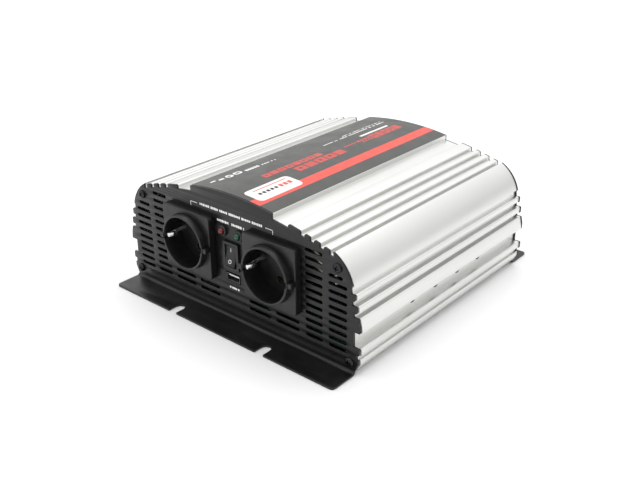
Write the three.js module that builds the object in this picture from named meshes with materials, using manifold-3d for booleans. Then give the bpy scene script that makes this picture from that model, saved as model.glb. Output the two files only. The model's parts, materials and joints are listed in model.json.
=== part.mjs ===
// Power inverter in a ribbed aluminium case: two earthed mains sockets, a rocker switch, two
// indicator lamps and a USB port at the front, a fan and two screw terminals at the rear.
// Millimetres. +Z is up, +X is to the right seen from the sockets, the sockets face -Y.
// The origin is on the surface that the mounting feet stand on, at the middle of the case.

import * as THREE from 'three';
import { mergeVertices } from 'three/addons/utils/BufferGeometryUtils.js';
import Module from 'manifold-3d';

const wasm = await Module();
wasm.setup();

// ---- Driving dimensions ----

const CASE_LENGTH = 216; // between the outer faces of the two end panels
const SHEET = 1.5; // steel of the end panels
const PANEL_FACE = CASE_LENGTH / 2;
const CASE_END = PANEL_FACE - SHEET;

const FOOT = { halfWidth: 113, reach: 23, bend: 2.5, corner: 3 };
const NOTCH = { x: 45.5, width: 8.2, depth: 11.5 };

// Section of the case, right half, seen from the sockets
const ARCH = { halfWidth: 40.8, crown: 101.75, radius: 243, wall: 2.6 };
const LABEL = { halfWidth: 40.5, thickness: 0.25, stations: 5 };
const SHOULDER = { crown: 96.8, radius: 322, wall: 2.6, ribHeight: 3.1 };
const TOP_RIBS = [[55.4, 66.2], [69.8, 74.8], [78, 83.1], [86.3, 91.4]];
const CORNER = { x: 80.5, z: 58.4, radius: 31.5, wall: 5.5, start: 94.6, end: 111 };
const SIDE_FINS = [
  { top: 61.2, bottom: 56.2, tip: 113.5 },
  { top: 52.9, bottom: 47.5, tip: 115.3 },
];
const SIDE_RIB = { top: 44.6, bottom: 33.5, tipTop: 116.4, tipMiddle: 117.7, tipBottom: 118.3, round: 1 };
const WALL_X = 112; // outer face of the plain band that the side screws sit in
const WALL = 2.5;
const WALL_LEAN = { knee: 45, top: 65, reach: 2.7 };
const SEAM_Z = 22; // the cover stands on the tray here
const TRAY = {
  floor: 3.5, floorHalf: 113.2, floorRound: 1.5, plate: 2.5, cornerX: 116.8, cornerZ: 9.5, cornerRound: 2.4,
  edge: 116.9, edgeRound: 0.8, sill: 13, waist: 114.6, fin: 16.3, finTip: 117.6,
};
const LIP = { outer: 109.2, inner: 106.8, top: 36 };
const RAIL = { top: 14, inner: 103.5, thick: 1.6, slot: 1.8, keeper: 107 };
const RIB_ROUND = 1.3;
const RIB_STEPS = 2;

const UPPER_PORT = [98.3, 76.5];
const LOWER_PORT = [108.8, 9.4];
const PORT = { radius: 4, bore: 1.6 };
const PANEL_SCREW = { head: 3.4, height: 2.2, shank: 1.42, length: 12 };
const SIDE_SCREW = { head: 2.9, height: 1.8, shank: 1.42, length: 6.5 };
const SCREW_HOLE = 2; // radius of the holes that the panel and fan screws pass
const SIDE_SCREW_Z = 30.2;
const SIDE_SCREW_PITCH = 29.6;
const SIDE_SCREW_FIRST = -41.8;

const SLOT_HEIGHT = 2.6;
const SLOT_PITCH = 5.93;
const INNER_SLOTS = { x0: 69.8, x1: 85.2, top: 81.4, count: 12 };
const OUTER_SLOTS = { x0: 90.4, x1: 106.2, top: 69.3, count: 10, firstShort: 3.7 };
const LOW_SLOTS = { spans: [[15.5, 36.9], [41.8, 64]], heights: [22.4, 16.3] };

const SOCKET = {
  x: 41.7, z: 55.5, bezel: 50, corner: 2.5, proud: 6.2, rim: 11.3,
  collar: 21.65, recess: 19.8, depth: 17.5, floor: 2, barrel: 21.2, pin: 2.75, pinPitch: 19,
};
const LAMP = { x: 8.2, z: 72, lens: 2.5, ring: 4.25, hole: 3.7 };
const SWITCH = { z: 54, width: 16, height: 22, proud: 2, windowWidth: 10.9, windowHeight: 17.6 };
const ROCKER = { pivotY: -107.2, tilt: 10, radius: 8.4, width: 10.3, face: 3.4, dip: 2.2, heel: 1.6 };
const USB = { z: 36, width: 13.4, height: 6, wall: 0.5, depth: 14, cutWidth: 14.6, cutHeight: 7.7 };

const FAN = { z: 52, size: 60, depth: 15, bore: 28.6, hub: 13, blades: 7, tip: 27.6, hole: 25 };
const GRILLE = { rings: [[9, 13.5], [16, 20.5], [23, 27.5]], spokes: 4, spoke: 3 };
const TERMINAL = {
  x: 74, z: 50, stud: 3.95, head: 7.4, sleeve: 7, base: 12, knob: 10.8, lift: 3,
  washer: 1.6, washerRadius: 8.2, knobLength: 15, flutes: 12,
};
const REAR_SLOTS = { x0: 63, x1: 85, heights: [83.5, 77.5, 71.5, 28.5, 22.5] };

const BOARD = { halfWidth: 109.4, halfLength: 100, thickness: 1.6 };

// ---- Solids ----

// A closed geometry with its shared corners merged, as a manifold-3d solid
function solid(geometry) {
  const bare = geometry.clone();
  bare.deleteAttribute('normal');
  bare.deleteAttribute('uv');
  const merged = mergeVertices(bare, 1e-4);
  const index = merged.index.array;
  const triangles = [];
  for (let i = 0; i < index.length; i += 3) {
    const [a, b, c] = [index[i], index[i + 1], index[i + 2]];
    if (a !== b && b !== c && c !== a) triangles.push(a, b, c);
  }
  if (signedVolume(merged.attributes.position, triangles) < 0) triangles.reverse();
  return new wasm.Manifold(new wasm.Mesh({
    numProp: 3,
    vertProperties: new Float32Array(merged.attributes.position.array),
    triVerts: new Uint32Array(triangles),
  }));
}

function signedVolume(position, triangles) {
  const corner = [new THREE.Vector3(), new THREE.Vector3(), new THREE.Vector3()];
  let volume = 0;
  for (let i = 0; i < triangles.length; i += 3) {
    corner.forEach((point, k) => point.fromBufferAttribute(position, triangles[i + k]));
    volume += corner[0].dot(corner[1].cross(corner[2]));
  }
  return volume;
}

function join(...geometries) {
  return geometries.map(solid).reduce((whole, next) => whole.add(next));
}

function cut(body, ...tools) {
  return tools.map(solid).reduce((rest, tool) => rest.subtract(tool), body);
}

function toGeometry(body) {
  const mesh = body.getMesh();
  const geometry = new THREE.BufferGeometry();
  geometry.setAttribute('position', new THREE.BufferAttribute(mesh.vertProperties, 3));
  geometry.setIndex(new THREE.BufferAttribute(mesh.triVerts, 1));
  const flat = geometry.toNonIndexed();
  flat.computeVertexNormals();
  return flat;
}

// Exact quarter turns, so that neighbouring flat faces share their planes
const ALONG_Y = new THREE.Matrix4().makeBasis(
  new THREE.Vector3(1, 0, 0), new THREE.Vector3(0, 0, 1), new THREE.Vector3(0, -1, 0));
const ALONG_X = new THREE.Matrix4().makeBasis(
  new THREE.Vector3(0, 1, 0), new THREE.Vector3(0, 0, 1), new THREE.Vector3(1, 0, 0));

function extrude(shape, depth, curveSegments = 3) {
  return new THREE.ExtrudeGeometry(shape, { depth, bevelEnabled: false, curveSegments });
}

// A shape drawn in (x, z), from y0 to y1
function extrudeY(shape, y0, y1, curveSegments) {
  return extrude(shape, y1 - y0, curveSegments).applyMatrix4(ALONG_Y).translate(0, y1, 0);
}

// A shape drawn in (y, z), from x0 to x1
function extrudeX(shape, x0, x1, curveSegments) {
  return extrude(shape, x1 - x0, curveSegments).applyMatrix4(ALONG_X).translate(x0, 0, 0);
}

// A shape drawn in (x, y), from z0 to z1
function extrudeZ(shape, z0, z1, curveSegments) {
  return extrude(shape, z1 - z0, curveSegments).translate(0, 0, z0);
}

function box(x0, x1, y0, y1, z0, z1) {
  const geometry = new THREE.BoxGeometry(x1 - x0, y1 - y0, z1 - z0);
  return geometry.translate((x0 + x1) / 2, (y0 + y1) / 2, (z0 + z1) / 2);
}

// A round bar along Y
function barY(radius, x, z, y0, y1, sides = 16) {
  const geometry = new THREE.CylinderGeometry(radius, radius, y1 - y0, sides);
  return geometry.translate(x, (y0 + y1) / 2, z);
}

// A round bar along X
function barX(radius, y, z, x0, x1, sides = 12) {
  const geometry = new THREE.CylinderGeometry(radius, radius, x1 - x0, sides);
  return geometry.rotateZ(Math.PI / 2).translate((x0 + x1) / 2, y, z);
}

// A turned piece about the Y axis, from [radius, y] pairs
function turned(profile, sides = 24) {
  return new THREE.LatheGeometry(profile.map(([r, y]) => new THREE.Vector2(r, y)), sides);
}

// ---- Outlines ----

// A closed shape through corners given as [x, y] or [x, y, rounding]
function cornered(corners) {
  const shape = new THREE.Shape();
  const point = ([x, y]) => new THREE.Vector2(x, y);
  const towards = (from, to, distance) => {
    const start = point(from);
    const step = point(to).sub(start).setLength(distance);
    return start.add(step);
  };
  corners.forEach((corner, i) => {
    const rounding = corner[2] ?? 0;
    const before = corners[(i + corners.length - 1) % corners.length];
    const after = corners[(i + 1) % corners.length];
    const enter = rounding ? towards(corner, before, rounding) : point(corner);
    if (i === 0) shape.moveTo(enter.x, enter.y);
    else shape.lineTo(enter.x, enter.y);
    if (!rounding) return;
    const leave = towards(corner, after, rounding);
    shape.quadraticCurveTo(corner[0], corner[1], leave.x, leave.y);
  });
  return shape;
}

// Adds the left half of an outline whose right half starts and ends on the centre line
function mirrored(half) {
  const left = half.slice(1, -1).reverse().map(([x, z, rounding]) => [-x, z, rounding]);
  return [...half, ...left];
}

function rectangle(width, height, cx = 0, cz = 0, rounding = 0) {
  const [w, h] = [width / 2, height / 2];
  return cornered([[-w, -h], [w, -h], [w, h], [-w, h]].map(([x, z]) => [cx + x, cz + z, rounding]));
}

// A slot with round ends from x0 to x1, centred on height z
function slot(x0, x1, z, height = SLOT_HEIGHT) {
  const r = height / 2;
  const end = (x, start) => {
    const angles = steps(start, start + Math.PI, 2);
    return angles.map((a) => [x + r * Math.cos(a), z + r * Math.sin(a)]);
  };
  return cornered([...end(x1 - r, -Math.PI / 2), ...end(x0 + r, Math.PI / 2)]);
}

// A strip of metal of even thickness that follows a line of [x, y] points
function strip(line, thickness) {
  const sides = [[], []];
  line.forEach(([x, y], i) => {
    const [px, py] = line[Math.max(i - 1, 0)];
    const [nx, ny] = line[Math.min(i + 1, line.length - 1)];
    const normal = new THREE.Vector2(py - ny, nx - px).setLength(thickness / 2);
    sides[0].push([x + normal.x, y + normal.y]);
    sides[1].unshift([x - normal.x, y - normal.y]);
  });
  return cornered(sides.flat());
}

const circleZ = (x, crown, radius) => crown - radius + Math.sqrt(radius ** 2 - x ** 2);
const archZ = (x) => circleZ(x, ARCH.crown, ARCH.radius);
const shoulderZ = (x) => circleZ(x, SHOULDER.crown, SHOULDER.radius);
const range = (count) => Array.from({ length: count }, (_, i) => i);
const steps = (from, to, count) => range(count + 1).map((i) => from + ((to - from) * i) / count);

// Outer face of the side wall: it leans out from the corner down to the plain band
function wallX(z) {
  const { knee, top, reach } = WALL_LEAN;
  return z < knee ? WALL_X : WALL_X - reach * ((z - knee) / (top - knee)) ** 0.7;
}

function archOutline() {
  return steps(0, LABEL.halfWidth, LABEL.stations).map((x) => [x, archZ(x)]);
}

function topRib([x0, x1]) {
  const ribZ = (x) => circleZ(x, SHOULDER.crown + SHOULDER.ribHeight, SHOULDER.radius + SHOULDER.ribHeight);
  return [[x0, shoulderZ(x0)], [x0, ribZ(x0), RIB_ROUND], [x1, ribZ(x1), RIB_ROUND], [x1, shoulderZ(x1)]];
}

function cornerArc(radius, x0, x1, count) {
  const angle = (x) => Math.acos((x - CORNER.x) / radius);
  return steps(angle(x0), angle(x1), count).map((a) => [
    CORNER.x + radius * Math.cos(a), CORNER.z + radius * Math.sin(a)]);
}

function sideFin({ top, bottom, tip }) {
  return [[wallX(top), top], [tip, top, RIB_ROUND], [tip, bottom, RIB_ROUND], [wallX(bottom), bottom]];
}

// Right half of the outside of the cover, from the crown down to the seam
function coverOutside() {
  return [
    ...archOutline(),
    [ARCH.halfWidth, archZ(ARCH.halfWidth)],
    [ARCH.halfWidth, shoulderZ(ARCH.halfWidth)],
    ...TOP_RIBS.flatMap(topRib),
    [CORNER.start, shoulderZ(CORNER.start)],
    ...cornerArc(CORNER.radius, CORNER.start, CORNER.end, 8),
    [wallX(WALL_LEAN.top), WALL_LEAN.top],
    ...SIDE_FINS.flatMap(sideFin),
    [WALL_X, SIDE_RIB.top],
    [SIDE_RIB.tipTop, SIDE_RIB.top, SIDE_RIB.round],
    [SIDE_RIB.tipMiddle, (SIDE_RIB.top + SIDE_RIB.bottom) / 2],
    [SIDE_RIB.tipBottom, SIDE_RIB.bottom, SIDE_RIB.round],
    [WALL_X, SIDE_RIB.bottom],
    [WALL_X, SEAM_Z],
  ];
}

// Right half of the outside of the tray, from the seam down to its bottom corner
function trayOutside() {
  return [
    [TRAY.finTip, SEAM_Z, RIB_ROUND],
    [TRAY.finTip, TRAY.fin, RIB_ROUND],
    [TRAY.waist, TRAY.fin],
    [TRAY.waist, TRAY.sill],
    [TRAY.edge, TRAY.sill, TRAY.edgeRound],
    [TRAY.cornerX, TRAY.cornerZ, TRAY.cornerRound],
  ];
}

// Right half of the inside of the cover, from the seam up to the crown
function coverInside() {
  const radius = CORNER.radius - CORNER.wall;
  const cornerBottom = CORNER.x + radius;
  const cornerTop = 96;
  const shoulderEnd = 84;
  const archInner = ARCH.halfWidth - 3;
  return [
    [WALL_X - WALL, SEAM_Z],
    [WALL_X - WALL, WALL_LEAN.knee],
    [cornerBottom + 0.6, CORNER.z - 4.4],
    ...cornerArc(radius, cornerBottom, cornerTop, 6),
    ...steps(shoulderEnd, archInner, 3).map((x) => [x, shoulderZ(x) - SHOULDER.wall]),
    ...steps(archInner, 0, 4).map((x) => [x, archZ(x) - ARCH.wall]),
  ];
}

// ---- Case ----

function port([x, z]) {
  return barY(PORT.radius, x, z, -CASE_END, CASE_END, 16);
}

function portBore([x, z]) {
  return barY(PORT.bore, x, z, -CASE_END - 1, CASE_END + 1, 12);
}

const flip = ([x, z]) => [-x, z];
const sideScrewYs = range(4).map((i) => SIDE_SCREW_FIRST + i * SIDE_SCREW_PITCH);

function sideScrewHoles() {
  const reach = [LIP.inner - 1, WALL_X + 1];
  return sideScrewYs.flatMap((y) => [
    barX(PORT.bore, y, SIDE_SCREW_Z, reach[0], reach[1]),
    barX(PORT.bore, y, SIDE_SCREW_Z, -reach[1], -reach[0]),
  ]);
}

function upperShell() {
  const outline = cornered(mirrored([...coverOutside(), ...coverInside()]));
  const body = join(
    extrudeY(outline, -CASE_END, CASE_END, RIB_STEPS),
    port(UPPER_PORT),
    port(flip(UPPER_PORT)));
  return cut(body, portBore(UPPER_PORT), portBore(flip(UPPER_PORT)), ...sideScrewHoles());
}

function lowerTray() {
  const inner = TRAY.waist - WALL;
  const plateTop = TRAY.floor + TRAY.plate;
  const railBottom = RAIL.top - RAIL.thick;
  const keeperBottom = RAIL.top + RAIL.slot;
  const half = [
    [0, TRAY.floor],
    [TRAY.floorHalf, TRAY.floor, TRAY.floorRound],
    ...trayOutside().reverse(),
    [LIP.outer, SEAM_Z],
    [LIP.outer, LIP.top],
    [LIP.inner, LIP.top],
    [LIP.inner, SEAM_Z - WALL],
    [inner, SEAM_Z - WALL],
    [inner, keeperBottom + RAIL.thick],
    [RAIL.keeper, keeperBottom + RAIL.thick],
    [RAIL.keeper, keeperBottom],
    [inner, keeperBottom],
    [inner, RAIL.top],
    [RAIL.inner, RAIL.top],
    [RAIL.inner, railBottom],
    [inner, railBottom],
    [inner, plateTop],
    [0, plateTop],
  ];
  const body = join(
    extrudeY(cornered(mirrored(half)), -CASE_END, CASE_END, RIB_STEPS),
    port(LOWER_PORT),
    port(flip(LOWER_PORT)));
  return cut(body, portBore(LOWER_PORT), portBore(flip(LOWER_PORT)), ...sideScrewHoles());
}

function topLabel() {
  const stations = steps(-LABEL.halfWidth, LABEL.halfWidth, 2 * LABEL.stations);
  const under = stations.map((x) => [x, archZ(x)]);
  const over = stations.reverse().map((x) => [x, archZ(x) + LABEL.thickness]);
  return solid(extrudeY(cornered([...under, ...over]), -CASE_END, CASE_END));
}

// ---- End panels ----

// The sheet bends forward at the bottom into a foot
function foot() {
  const outer = FOOT.bend + SHEET;
  const bendY = -PANEL_FACE - FOOT.bend;
  const bend = (radius, angles) => angles.map((a) => [
    bendY + radius * Math.cos(a), outer + radius * Math.sin(a)]);
  const angles = steps(-Math.PI / 12, -Math.PI * 5 / 12, 3);
  const section = cornered([
    [-CASE_END, outer + 2],
    [-PANEL_FACE, outer + 2],
    [-PANEL_FACE, outer],
    ...bend(FOOT.bend, angles),
    [bendY, SHEET],
    [-PANEL_FACE - FOOT.reach, SHEET],
    [-PANEL_FACE - FOOT.reach, 0],
    [bendY, 0],
    ...bend(outer, angles.slice().reverse()),
    [-CASE_END, outer],
  ]);
  return extrudeX(section, -FOOT.halfWidth, FOOT.halfWidth);
}

// Two open notches for fixing screws, and the rounded outer corners
function footTools() {
  const tip = -PANEL_FACE - FOOT.reach;
  const r = NOTCH.width / 2;
  const root = -PANEL_FACE - NOTCH.depth - r;
  const round = steps(Math.PI, 0, 6).map((a) => [r * Math.cos(a), root + r * Math.sin(a)]);
  const notch = [[-r, tip - 1], ...round, [r, tip - 1]];
  const [w, c] = [FOOT.halfWidth, FOOT.corner];
  const arc = steps(0, Math.PI / 2, 4).map((a) => [w - c + c * Math.cos(a), tip + c - c * Math.sin(a)]);
  const corner = [[w + 1, tip + c], ...arc, [w - c, tip - 1], [w + 1, tip - 1]];
  const outlines = [
    ...[-NOTCH.x, NOTCH.x].map((x) => notch.map(([nx, ny]) => [x + nx, ny])),
    corner,
    corner.map(flip),
  ];
  return outlines.map((outline) => extrudeZ(cornered(outline), -1, SHEET + 1));
}

// A tool that pierces an end panel, from a shape drawn in (x, z)
function pierce(shape, curveSegments) {
  return extrudeY(shape, -PANEL_FACE - 1, 1 - CASE_END, curveSegments);
}

function panelBore(radius, x, z, sides) {
  return barY(radius, x, z, -PANEL_FACE - 1, 1 - CASE_END, sides);
}

// A panel with the outline of the whole case, cut by the given tools
function endPanel(tools) {
  const bottom = FOOT.bend + SHEET;
  const half = [...coverOutside(), ...trayOutside(), [FOOT.halfWidth + 0.5, bottom], [0, bottom]];
  const sheet = extrudeY(cornered(mirrored(half)), -PANEL_FACE, -CASE_END, RIB_STEPS);
  const ports = [UPPER_PORT, LOWER_PORT, flip(UPPER_PORT), flip(LOWER_PORT)];
  return cut(
    join(sheet, foot()),
    ...footTools(),
    ...ports.map(([x, z]) => panelBore(SCREW_HOLE, x, z, 10)),
    ...tools);
}

// The same slot on both sides of the middle
function slotPair(x0, x1, z) {
  return [pierce(slot(x0, x1, z)), pierce(slot(-x1, -x0, z))];
}

function frontPanel() {
  const inner = range(INNER_SLOTS.count).flatMap((i) => (
    slotPair(INNER_SLOTS.x0, INNER_SLOTS.x1, INNER_SLOTS.top - i * SLOT_PITCH)));
  const outer = range(OUTER_SLOTS.count).flatMap((i) => {
    const short = i === 0 ? OUTER_SLOTS.firstShort : 0;
    return slotPair(OUTER_SLOTS.x0, OUTER_SLOTS.x1 - short, OUTER_SLOTS.top - i * SLOT_PITCH);
  });
  const low = LOW_SLOTS.heights.flatMap((z) => LOW_SLOTS.spans.flatMap(([x0, x1]) => slotPair(x0, x1, z)));
  return endPanel([
    ...inner,
    ...outer,
    ...low,
    ...[-SOCKET.x, SOCKET.x].map((x) => panelBore(SOCKET.barrel + 0.3, x, SOCKET.z, 40)),
    ...[-LAMP.x, LAMP.x].map((x) => panelBore(LAMP.hole, x, LAMP.z, 16)),
    pierce(rectangle(SWITCH.width - 2.8, SWITCH.height - 2.2, 0, SWITCH.z)),
    pierce(rectangle(USB.cutWidth, USB.cutHeight, 0, USB.z, 0.6)),
  ]);
}

// One curved opening of the fan grille
function grilleArc([r0, r1], middle) {
  const reach = Math.PI / GRILLE.spokes;
  const gap = (r) => Math.asin(GRILLE.spoke / 2 / r);
  const arc = (r, side) => steps(middle - side * (reach - gap(r)), middle + side * (reach - gap(r)), 5).map(
    (a) => [r * Math.cos(a), FAN.z + r * Math.sin(a)]);
  return pierce(cornered([...arc(r1, 1), ...arc(r0, -1)]));
}

// Made as a front panel, then turned half a turn so that its foot points to the rear
function rearPanel() {
  const quarters = range(GRILLE.spokes).map((i) => (i * 2 * Math.PI) / GRILLE.spokes);
  const fanHoles = [-FAN.hole, FAN.hole].flatMap((dx) => [-FAN.hole, FAN.hole].map((dz) => [dx, FAN.z + dz]));
  return endPanel([
    ...GRILLE.rings.flatMap((ring) => quarters.map((middle) => grilleArc(ring, middle))),
    ...fanHoles.map(([x, z]) => panelBore(SCREW_HOLE, x, z, 10)),
    ...[-TERMINAL.x, TERMINAL.x].map((x) => panelBore(TERMINAL.sleeve + 0.3, x, TERMINAL.z, 20)),
    ...REAR_SLOTS.heights.flatMap((z) => slotPair(REAR_SLOTS.x0, REAR_SLOTS.x1, z)),
  ]).rotate([0, 0, 180]);
}

// ---- Screws ----

// Domed cross-recess screw along Y: the head faces -Y and bears at y = 0
function screw({ head, height, shank, length }) {
  const body = solid(turned([
    [0, -height],
    [head * 0.6, -height * 0.85],
    [head, -height * 0.35],
    [head, 0],
    [shank, 0],
    [shank, length],
    [0, length],
  ], 8));
  const arm = head * 0.55;
  const blade = head * 0.11;
  const depth = -height * 0.35;
  return cut(
    body,
    box(-arm, arm, -height - 1, depth, -blade, blade),
    box(-blade, blade, -height - 1, depth, -arm, arm));
}

// ---- Mains sockets ----

const socketFront = -PANEL_FACE - SOCKET.rim;
const socketFloor = socketFront + SOCKET.depth;
const LUG = { proud: 4.6, half: 2 }; // block at each side of the collar, and half its height
const CLIP = {
  leg: 20.4, thickness: 0.8, width: 3.2,
  tip: socketFront + 3.2,
  back: socketFloor + SOCKET.floor + 0.9,
};

const CONTACT = { inner: 2.5, outer: 3.3, bore: 3.5, length: 15 };

// Square bezel, round collar and barrel, with a deep recess and a slot each side for an earth clip
function socketHousing() {
  const bezelFace = -PANEL_FACE - SOCKET.proud;
  const back = socketFloor + SOCKET.floor;
  const { proud, half } = LUG;
  const lug = (x0, x1) => box(x0, x1, bezelFace - proud, bezelFace + 1, -half, half);
  const body = join(
    extrudeY(rectangle(SOCKET.bezel, SOCKET.bezel, 0, 0, SOCKET.corner), bezelFace, -PANEL_FACE),
    barY(SOCKET.collar, 0, 0, socketFront, -PANEL_FACE, 40),
    barY(SOCKET.barrel, 0, 0, -PANEL_FACE - 1, back, 40),
    lug(SOCKET.collar - 1, SOCKET.bezel / 2),
    lug(-SOCKET.bezel / 2, 1 - SOCKET.collar));
  const halfPitch = SOCKET.pinPitch / 2;
  const slotDeep = CLIP.leg + CLIP.thickness + 0.05;
  const slotHigh = CLIP.width / 2 + 0.4;
  return cut(
    body,
    barY(SOCKET.recess, 0, 0, socketFront - 1, socketFloor, 40),
    barY(SOCKET.pin, 0, halfPitch, socketFloor - 1, back + 1, 16),
    barY(SOCKET.pin, 0, -halfPitch, socketFloor - 1, back + 1, 16),
    box(SOCKET.recess - 1.5, slotDeep, socketFront - 1, back + 1, -slotHigh, slotHigh),
    box(-slotDeep, 1.5 - SOCKET.recess, socketFront - 1, back + 1, -slotHigh, slotHigh));
}

// One bent strip: across behind the recess, forward along both sides, hooked in at the front
function earthBracket() {
  const { leg, back, tip } = CLIP;
  const hook = [
    [leg - 1.6, tip + 9.6],
    [leg - 3.5, tip + 5.4],
    [leg - 3.4, tip + 3.6],
    [leg - 1.8, tip + 0.4],
    [leg - 0.9, tip],
    [leg - 0.2, tip + 0.4],
    [leg, tip + 1.3],
  ];
  const rightLeg = [...hook, [leg, back - 0.6], [leg - 0.6, back]];
  const leftLeg = rightLeg.slice().reverse().map(([x, y]) => [-x, y]);
  const half = CLIP.width / 2;
  return solid(extrudeZ(strip([...rightLeg, ...leftLeg], CLIP.thickness), -half, half));
}

function contactSleeve() {
  const { inner, outer, length } = CONTACT;
  const start = socketFloor + SOCKET.floor + 0.1;
  const end = start + length;
  return solid(turned([[inner, start], [outer, start], [outer, end], [inner, end], [inner, start]], 12));
}

// Holds the contact sleeves and the earth strip against the back of the housing
function socketRearCover() {
  const back = socketFloor + SOCKET.floor;
  const end = back + 15;
  const halfPitch = SOCKET.pinPitch / 2;
  const channel = CLIP.width / 2 + 0.4;
  const body = join(
    barY(SOCKET.barrel - 0.2, 0, 0, back, back + 6, 32),
    box(-7, 7, back + 5, end, -15, 15));
  return cut(
    body,
    barY(CONTACT.bore, 0, halfPitch, back - 1, end + 1, 16),
    barY(CONTACT.bore, 0, -halfPitch, back - 1, end + 1, 16),
    box(-SOCKET.barrel - 1, SOCKET.barrel + 1, back - 1, back + 1.8, -channel, channel));
}

// ---- Lamps, switch and USB port ----

function lampLens() {
  const tip = -PANEL_FACE - 4.2;
  const r = LAMP.lens;
  const dome = steps(Math.PI / 2, 0, 3).map((a) => [r * Math.cos(a), tip + r - r * Math.sin(a)]);
  const [shoulder, back] = [-PANEL_FACE + 2, -PANEL_FACE + 3];
  const flange = r + 0.4;
  return solid(turned([...dome, [r, shoulder], [flange, shoulder], [flange, back], [0, back]], 12));
}

function lampHolder() {
  const inner = LAMP.lens + 0.15;
  const sleeve = LAMP.hole - 0.15;
  const face = -PANEL_FACE - 1.8;
  return solid(turned([
    [inner, face],
    [LAMP.ring - 0.6, face],
    [LAMP.ring, face + 0.8],
    [LAMP.ring, -PANEL_FACE],
    [sleeve, -PANEL_FACE],
    [sleeve, -PANEL_FACE + 7],
    [3.1, -PANEL_FACE + 7],
    [3.1, -PANEL_FACE + 1.8],
    [inner, -PANEL_FACE + 1.8],
    [inner, face],
  ], 12));
}

function switchHousing() {
  const { width, height, proud, windowWidth, windowHeight } = SWITCH;
  const front = -PANEL_FACE - proud;
  const back = -PANEL_FACE + 14;
  const [w, h] = [windowWidth / 2, windowHeight / 2];
  const [bodyW, bodyH] = [width / 2 - 1.6, height / 2 - 1.3];
  const body = join(
    extrudeY(rectangle(width, height, 0, 0, 1.2), front, -PANEL_FACE),
    box(-bodyW, bodyW, -PANEL_FACE - 1, back, -bodyH, bodyH));
  const pinHole = [1.25, ROCKER.pivotY, 0];
  return cut(
    body,
    box(-w, w, front - 1, back - 2, -h, h),
    barX(...pinHole, w - 0.2, w + 0.7),
    barX(...pinHole, -w - 0.7, 0.2 - w));
}

// Two sloping faces that meet in a shallow dip, round ends about the pivot, and a pin each side
function switchRocker() {
  const { radius, face, dip, heel, width } = ROCKER;
  const edge = Math.asin(face / radius);
  const tail = Math.asin(heel / radius);
  const end = (a) => [-radius * Math.sin(a), radius * Math.cos(a)];
  const upper = steps(edge, -tail, 4).map(end);
  const lower = upper.slice().reverse().map(([y, z]) => [y, -z]);
  const profile = cornered([[-dip, 0], ...upper, [heel + 1, 0], ...lower]);
  return join(
    extrudeX(profile, -width / 2, width / 2),
    barX(1, 0, 0, -SWITCH.windowWidth / 2 - 0.5, SWITCH.windowWidth / 2 + 0.5));
}

function usbShell() {
  const front = -PANEL_FACE - 0.4;
  const { width, height, wall, depth } = USB;
  const [w, h] = [width / 2 - wall, height / 2 - wall];
  const outer = solid(extrudeY(rectangle(width, height, 0, 0, 0.5), front, front + depth));
  return cut(outer, box(-w, w, front - 1, front + depth - 1, -h, h));
}

function usbTongue() {
  const front = -PANEL_FACE + 1;
  return solid(box(-5.5, 5.5, front, -PANEL_FACE - 0.4 + USB.depth - 1, 0.3, 2.1));
}

function usbBoard() {
  const top = -USB.height / 2;
  return solid(box(-11, 11, -PANEL_FACE + 2, -PANEL_FACE + 22, top - BOARD.thickness, top));
}

// ---- Fan ----

const fanFront = CASE_END - FAN.depth;

// Square frame with a round duct, a hub at its inner face and four struts that hold it
function fanFrame() {
  const plate = rectangle(FAN.size, FAN.size, 0, 0, 4);
  plate.holes.push(new THREE.Shape().absarc(0, 0, FAN.bore, 0, 2 * Math.PI));
  const screwHole = (x, z) => barY(SCREW_HOLE, x, z, fanFront - 1, CASE_END + 1, 10);
  const strut = (a) => box(FAN.hub - 1, FAN.bore + 0.5, fanFront, fanFront + 2.4, -1.4, 1.4).rotateY(a);
  const body = join(
    extrudeY(plate, fanFront, CASE_END, 10),
    barY(FAN.hub + 0.5, 0, 0, fanFront, fanFront + 2.4, 24),
    ...range(4).map((i) => strut(Math.PI / 4 + (i * Math.PI) / 2)));
  const h = FAN.hole;
  return cut(
    body,
    ...[[-h, -h], [-h, h], [h, -h], [h, h]].map(([x, z]) => screwHole(x, z)),
    barY(1.9, 0, 0, fanFront - 1, fanFront + 3, 12));
}

// One blade: a thin plate that leans round the hub along the axis and sweeps back towards its tip
function fanBlade(turn) {
  const [y0, y1] = [fanFront + 3.2, CASE_END - 1.2];
  const [root, thickness] = [FAN.hub - 1.5, 1.4];
  const blade = new THREE.BoxGeometry(FAN.tip - root, y1 - y0, thickness, 3, 2, 1);
  blade.translate((FAN.tip + root) / 2, (y0 + y1) / 2, 0);
  const position = blade.attributes.position;
  for (let i = 0; i < position.count; i += 1) {
    const [r, y, side] = [position.getX(i), position.getY(i), position.getZ(i)];
    const along = (y - y0) / (y1 - y0) - 0.5;
    const lean = 0.62 * along * (FAN.hub + 6) / (r * 0.5 + 8);
    const sweep = 0.012 * (r - FAN.hub);
    const angle = turn + lean - sweep + side / r;
    position.setXYZ(i, r * Math.cos(angle), y, -r * Math.sin(angle));
  }
  return blade;
}

function fanRotor() {
  const hub = turned([
    [0, fanFront + 0.6],
    [1.7, fanFront + 0.6],
    [1.7, fanFront + 3],
    [FAN.hub, fanFront + 3],
    [FAN.hub, CASE_END - 1.8],
    [FAN.hub - 1, CASE_END - 0.8],
    [0, CASE_END - 0.8],
  ], 24);
  const turns = range(FAN.blades).map((i) => (i * 2 * Math.PI) / FAN.blades);
  return join(hub, ...turns.map(fanBlade));
}

// ---- Battery terminals: each stands on the rear panel, along +Y ----

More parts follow.
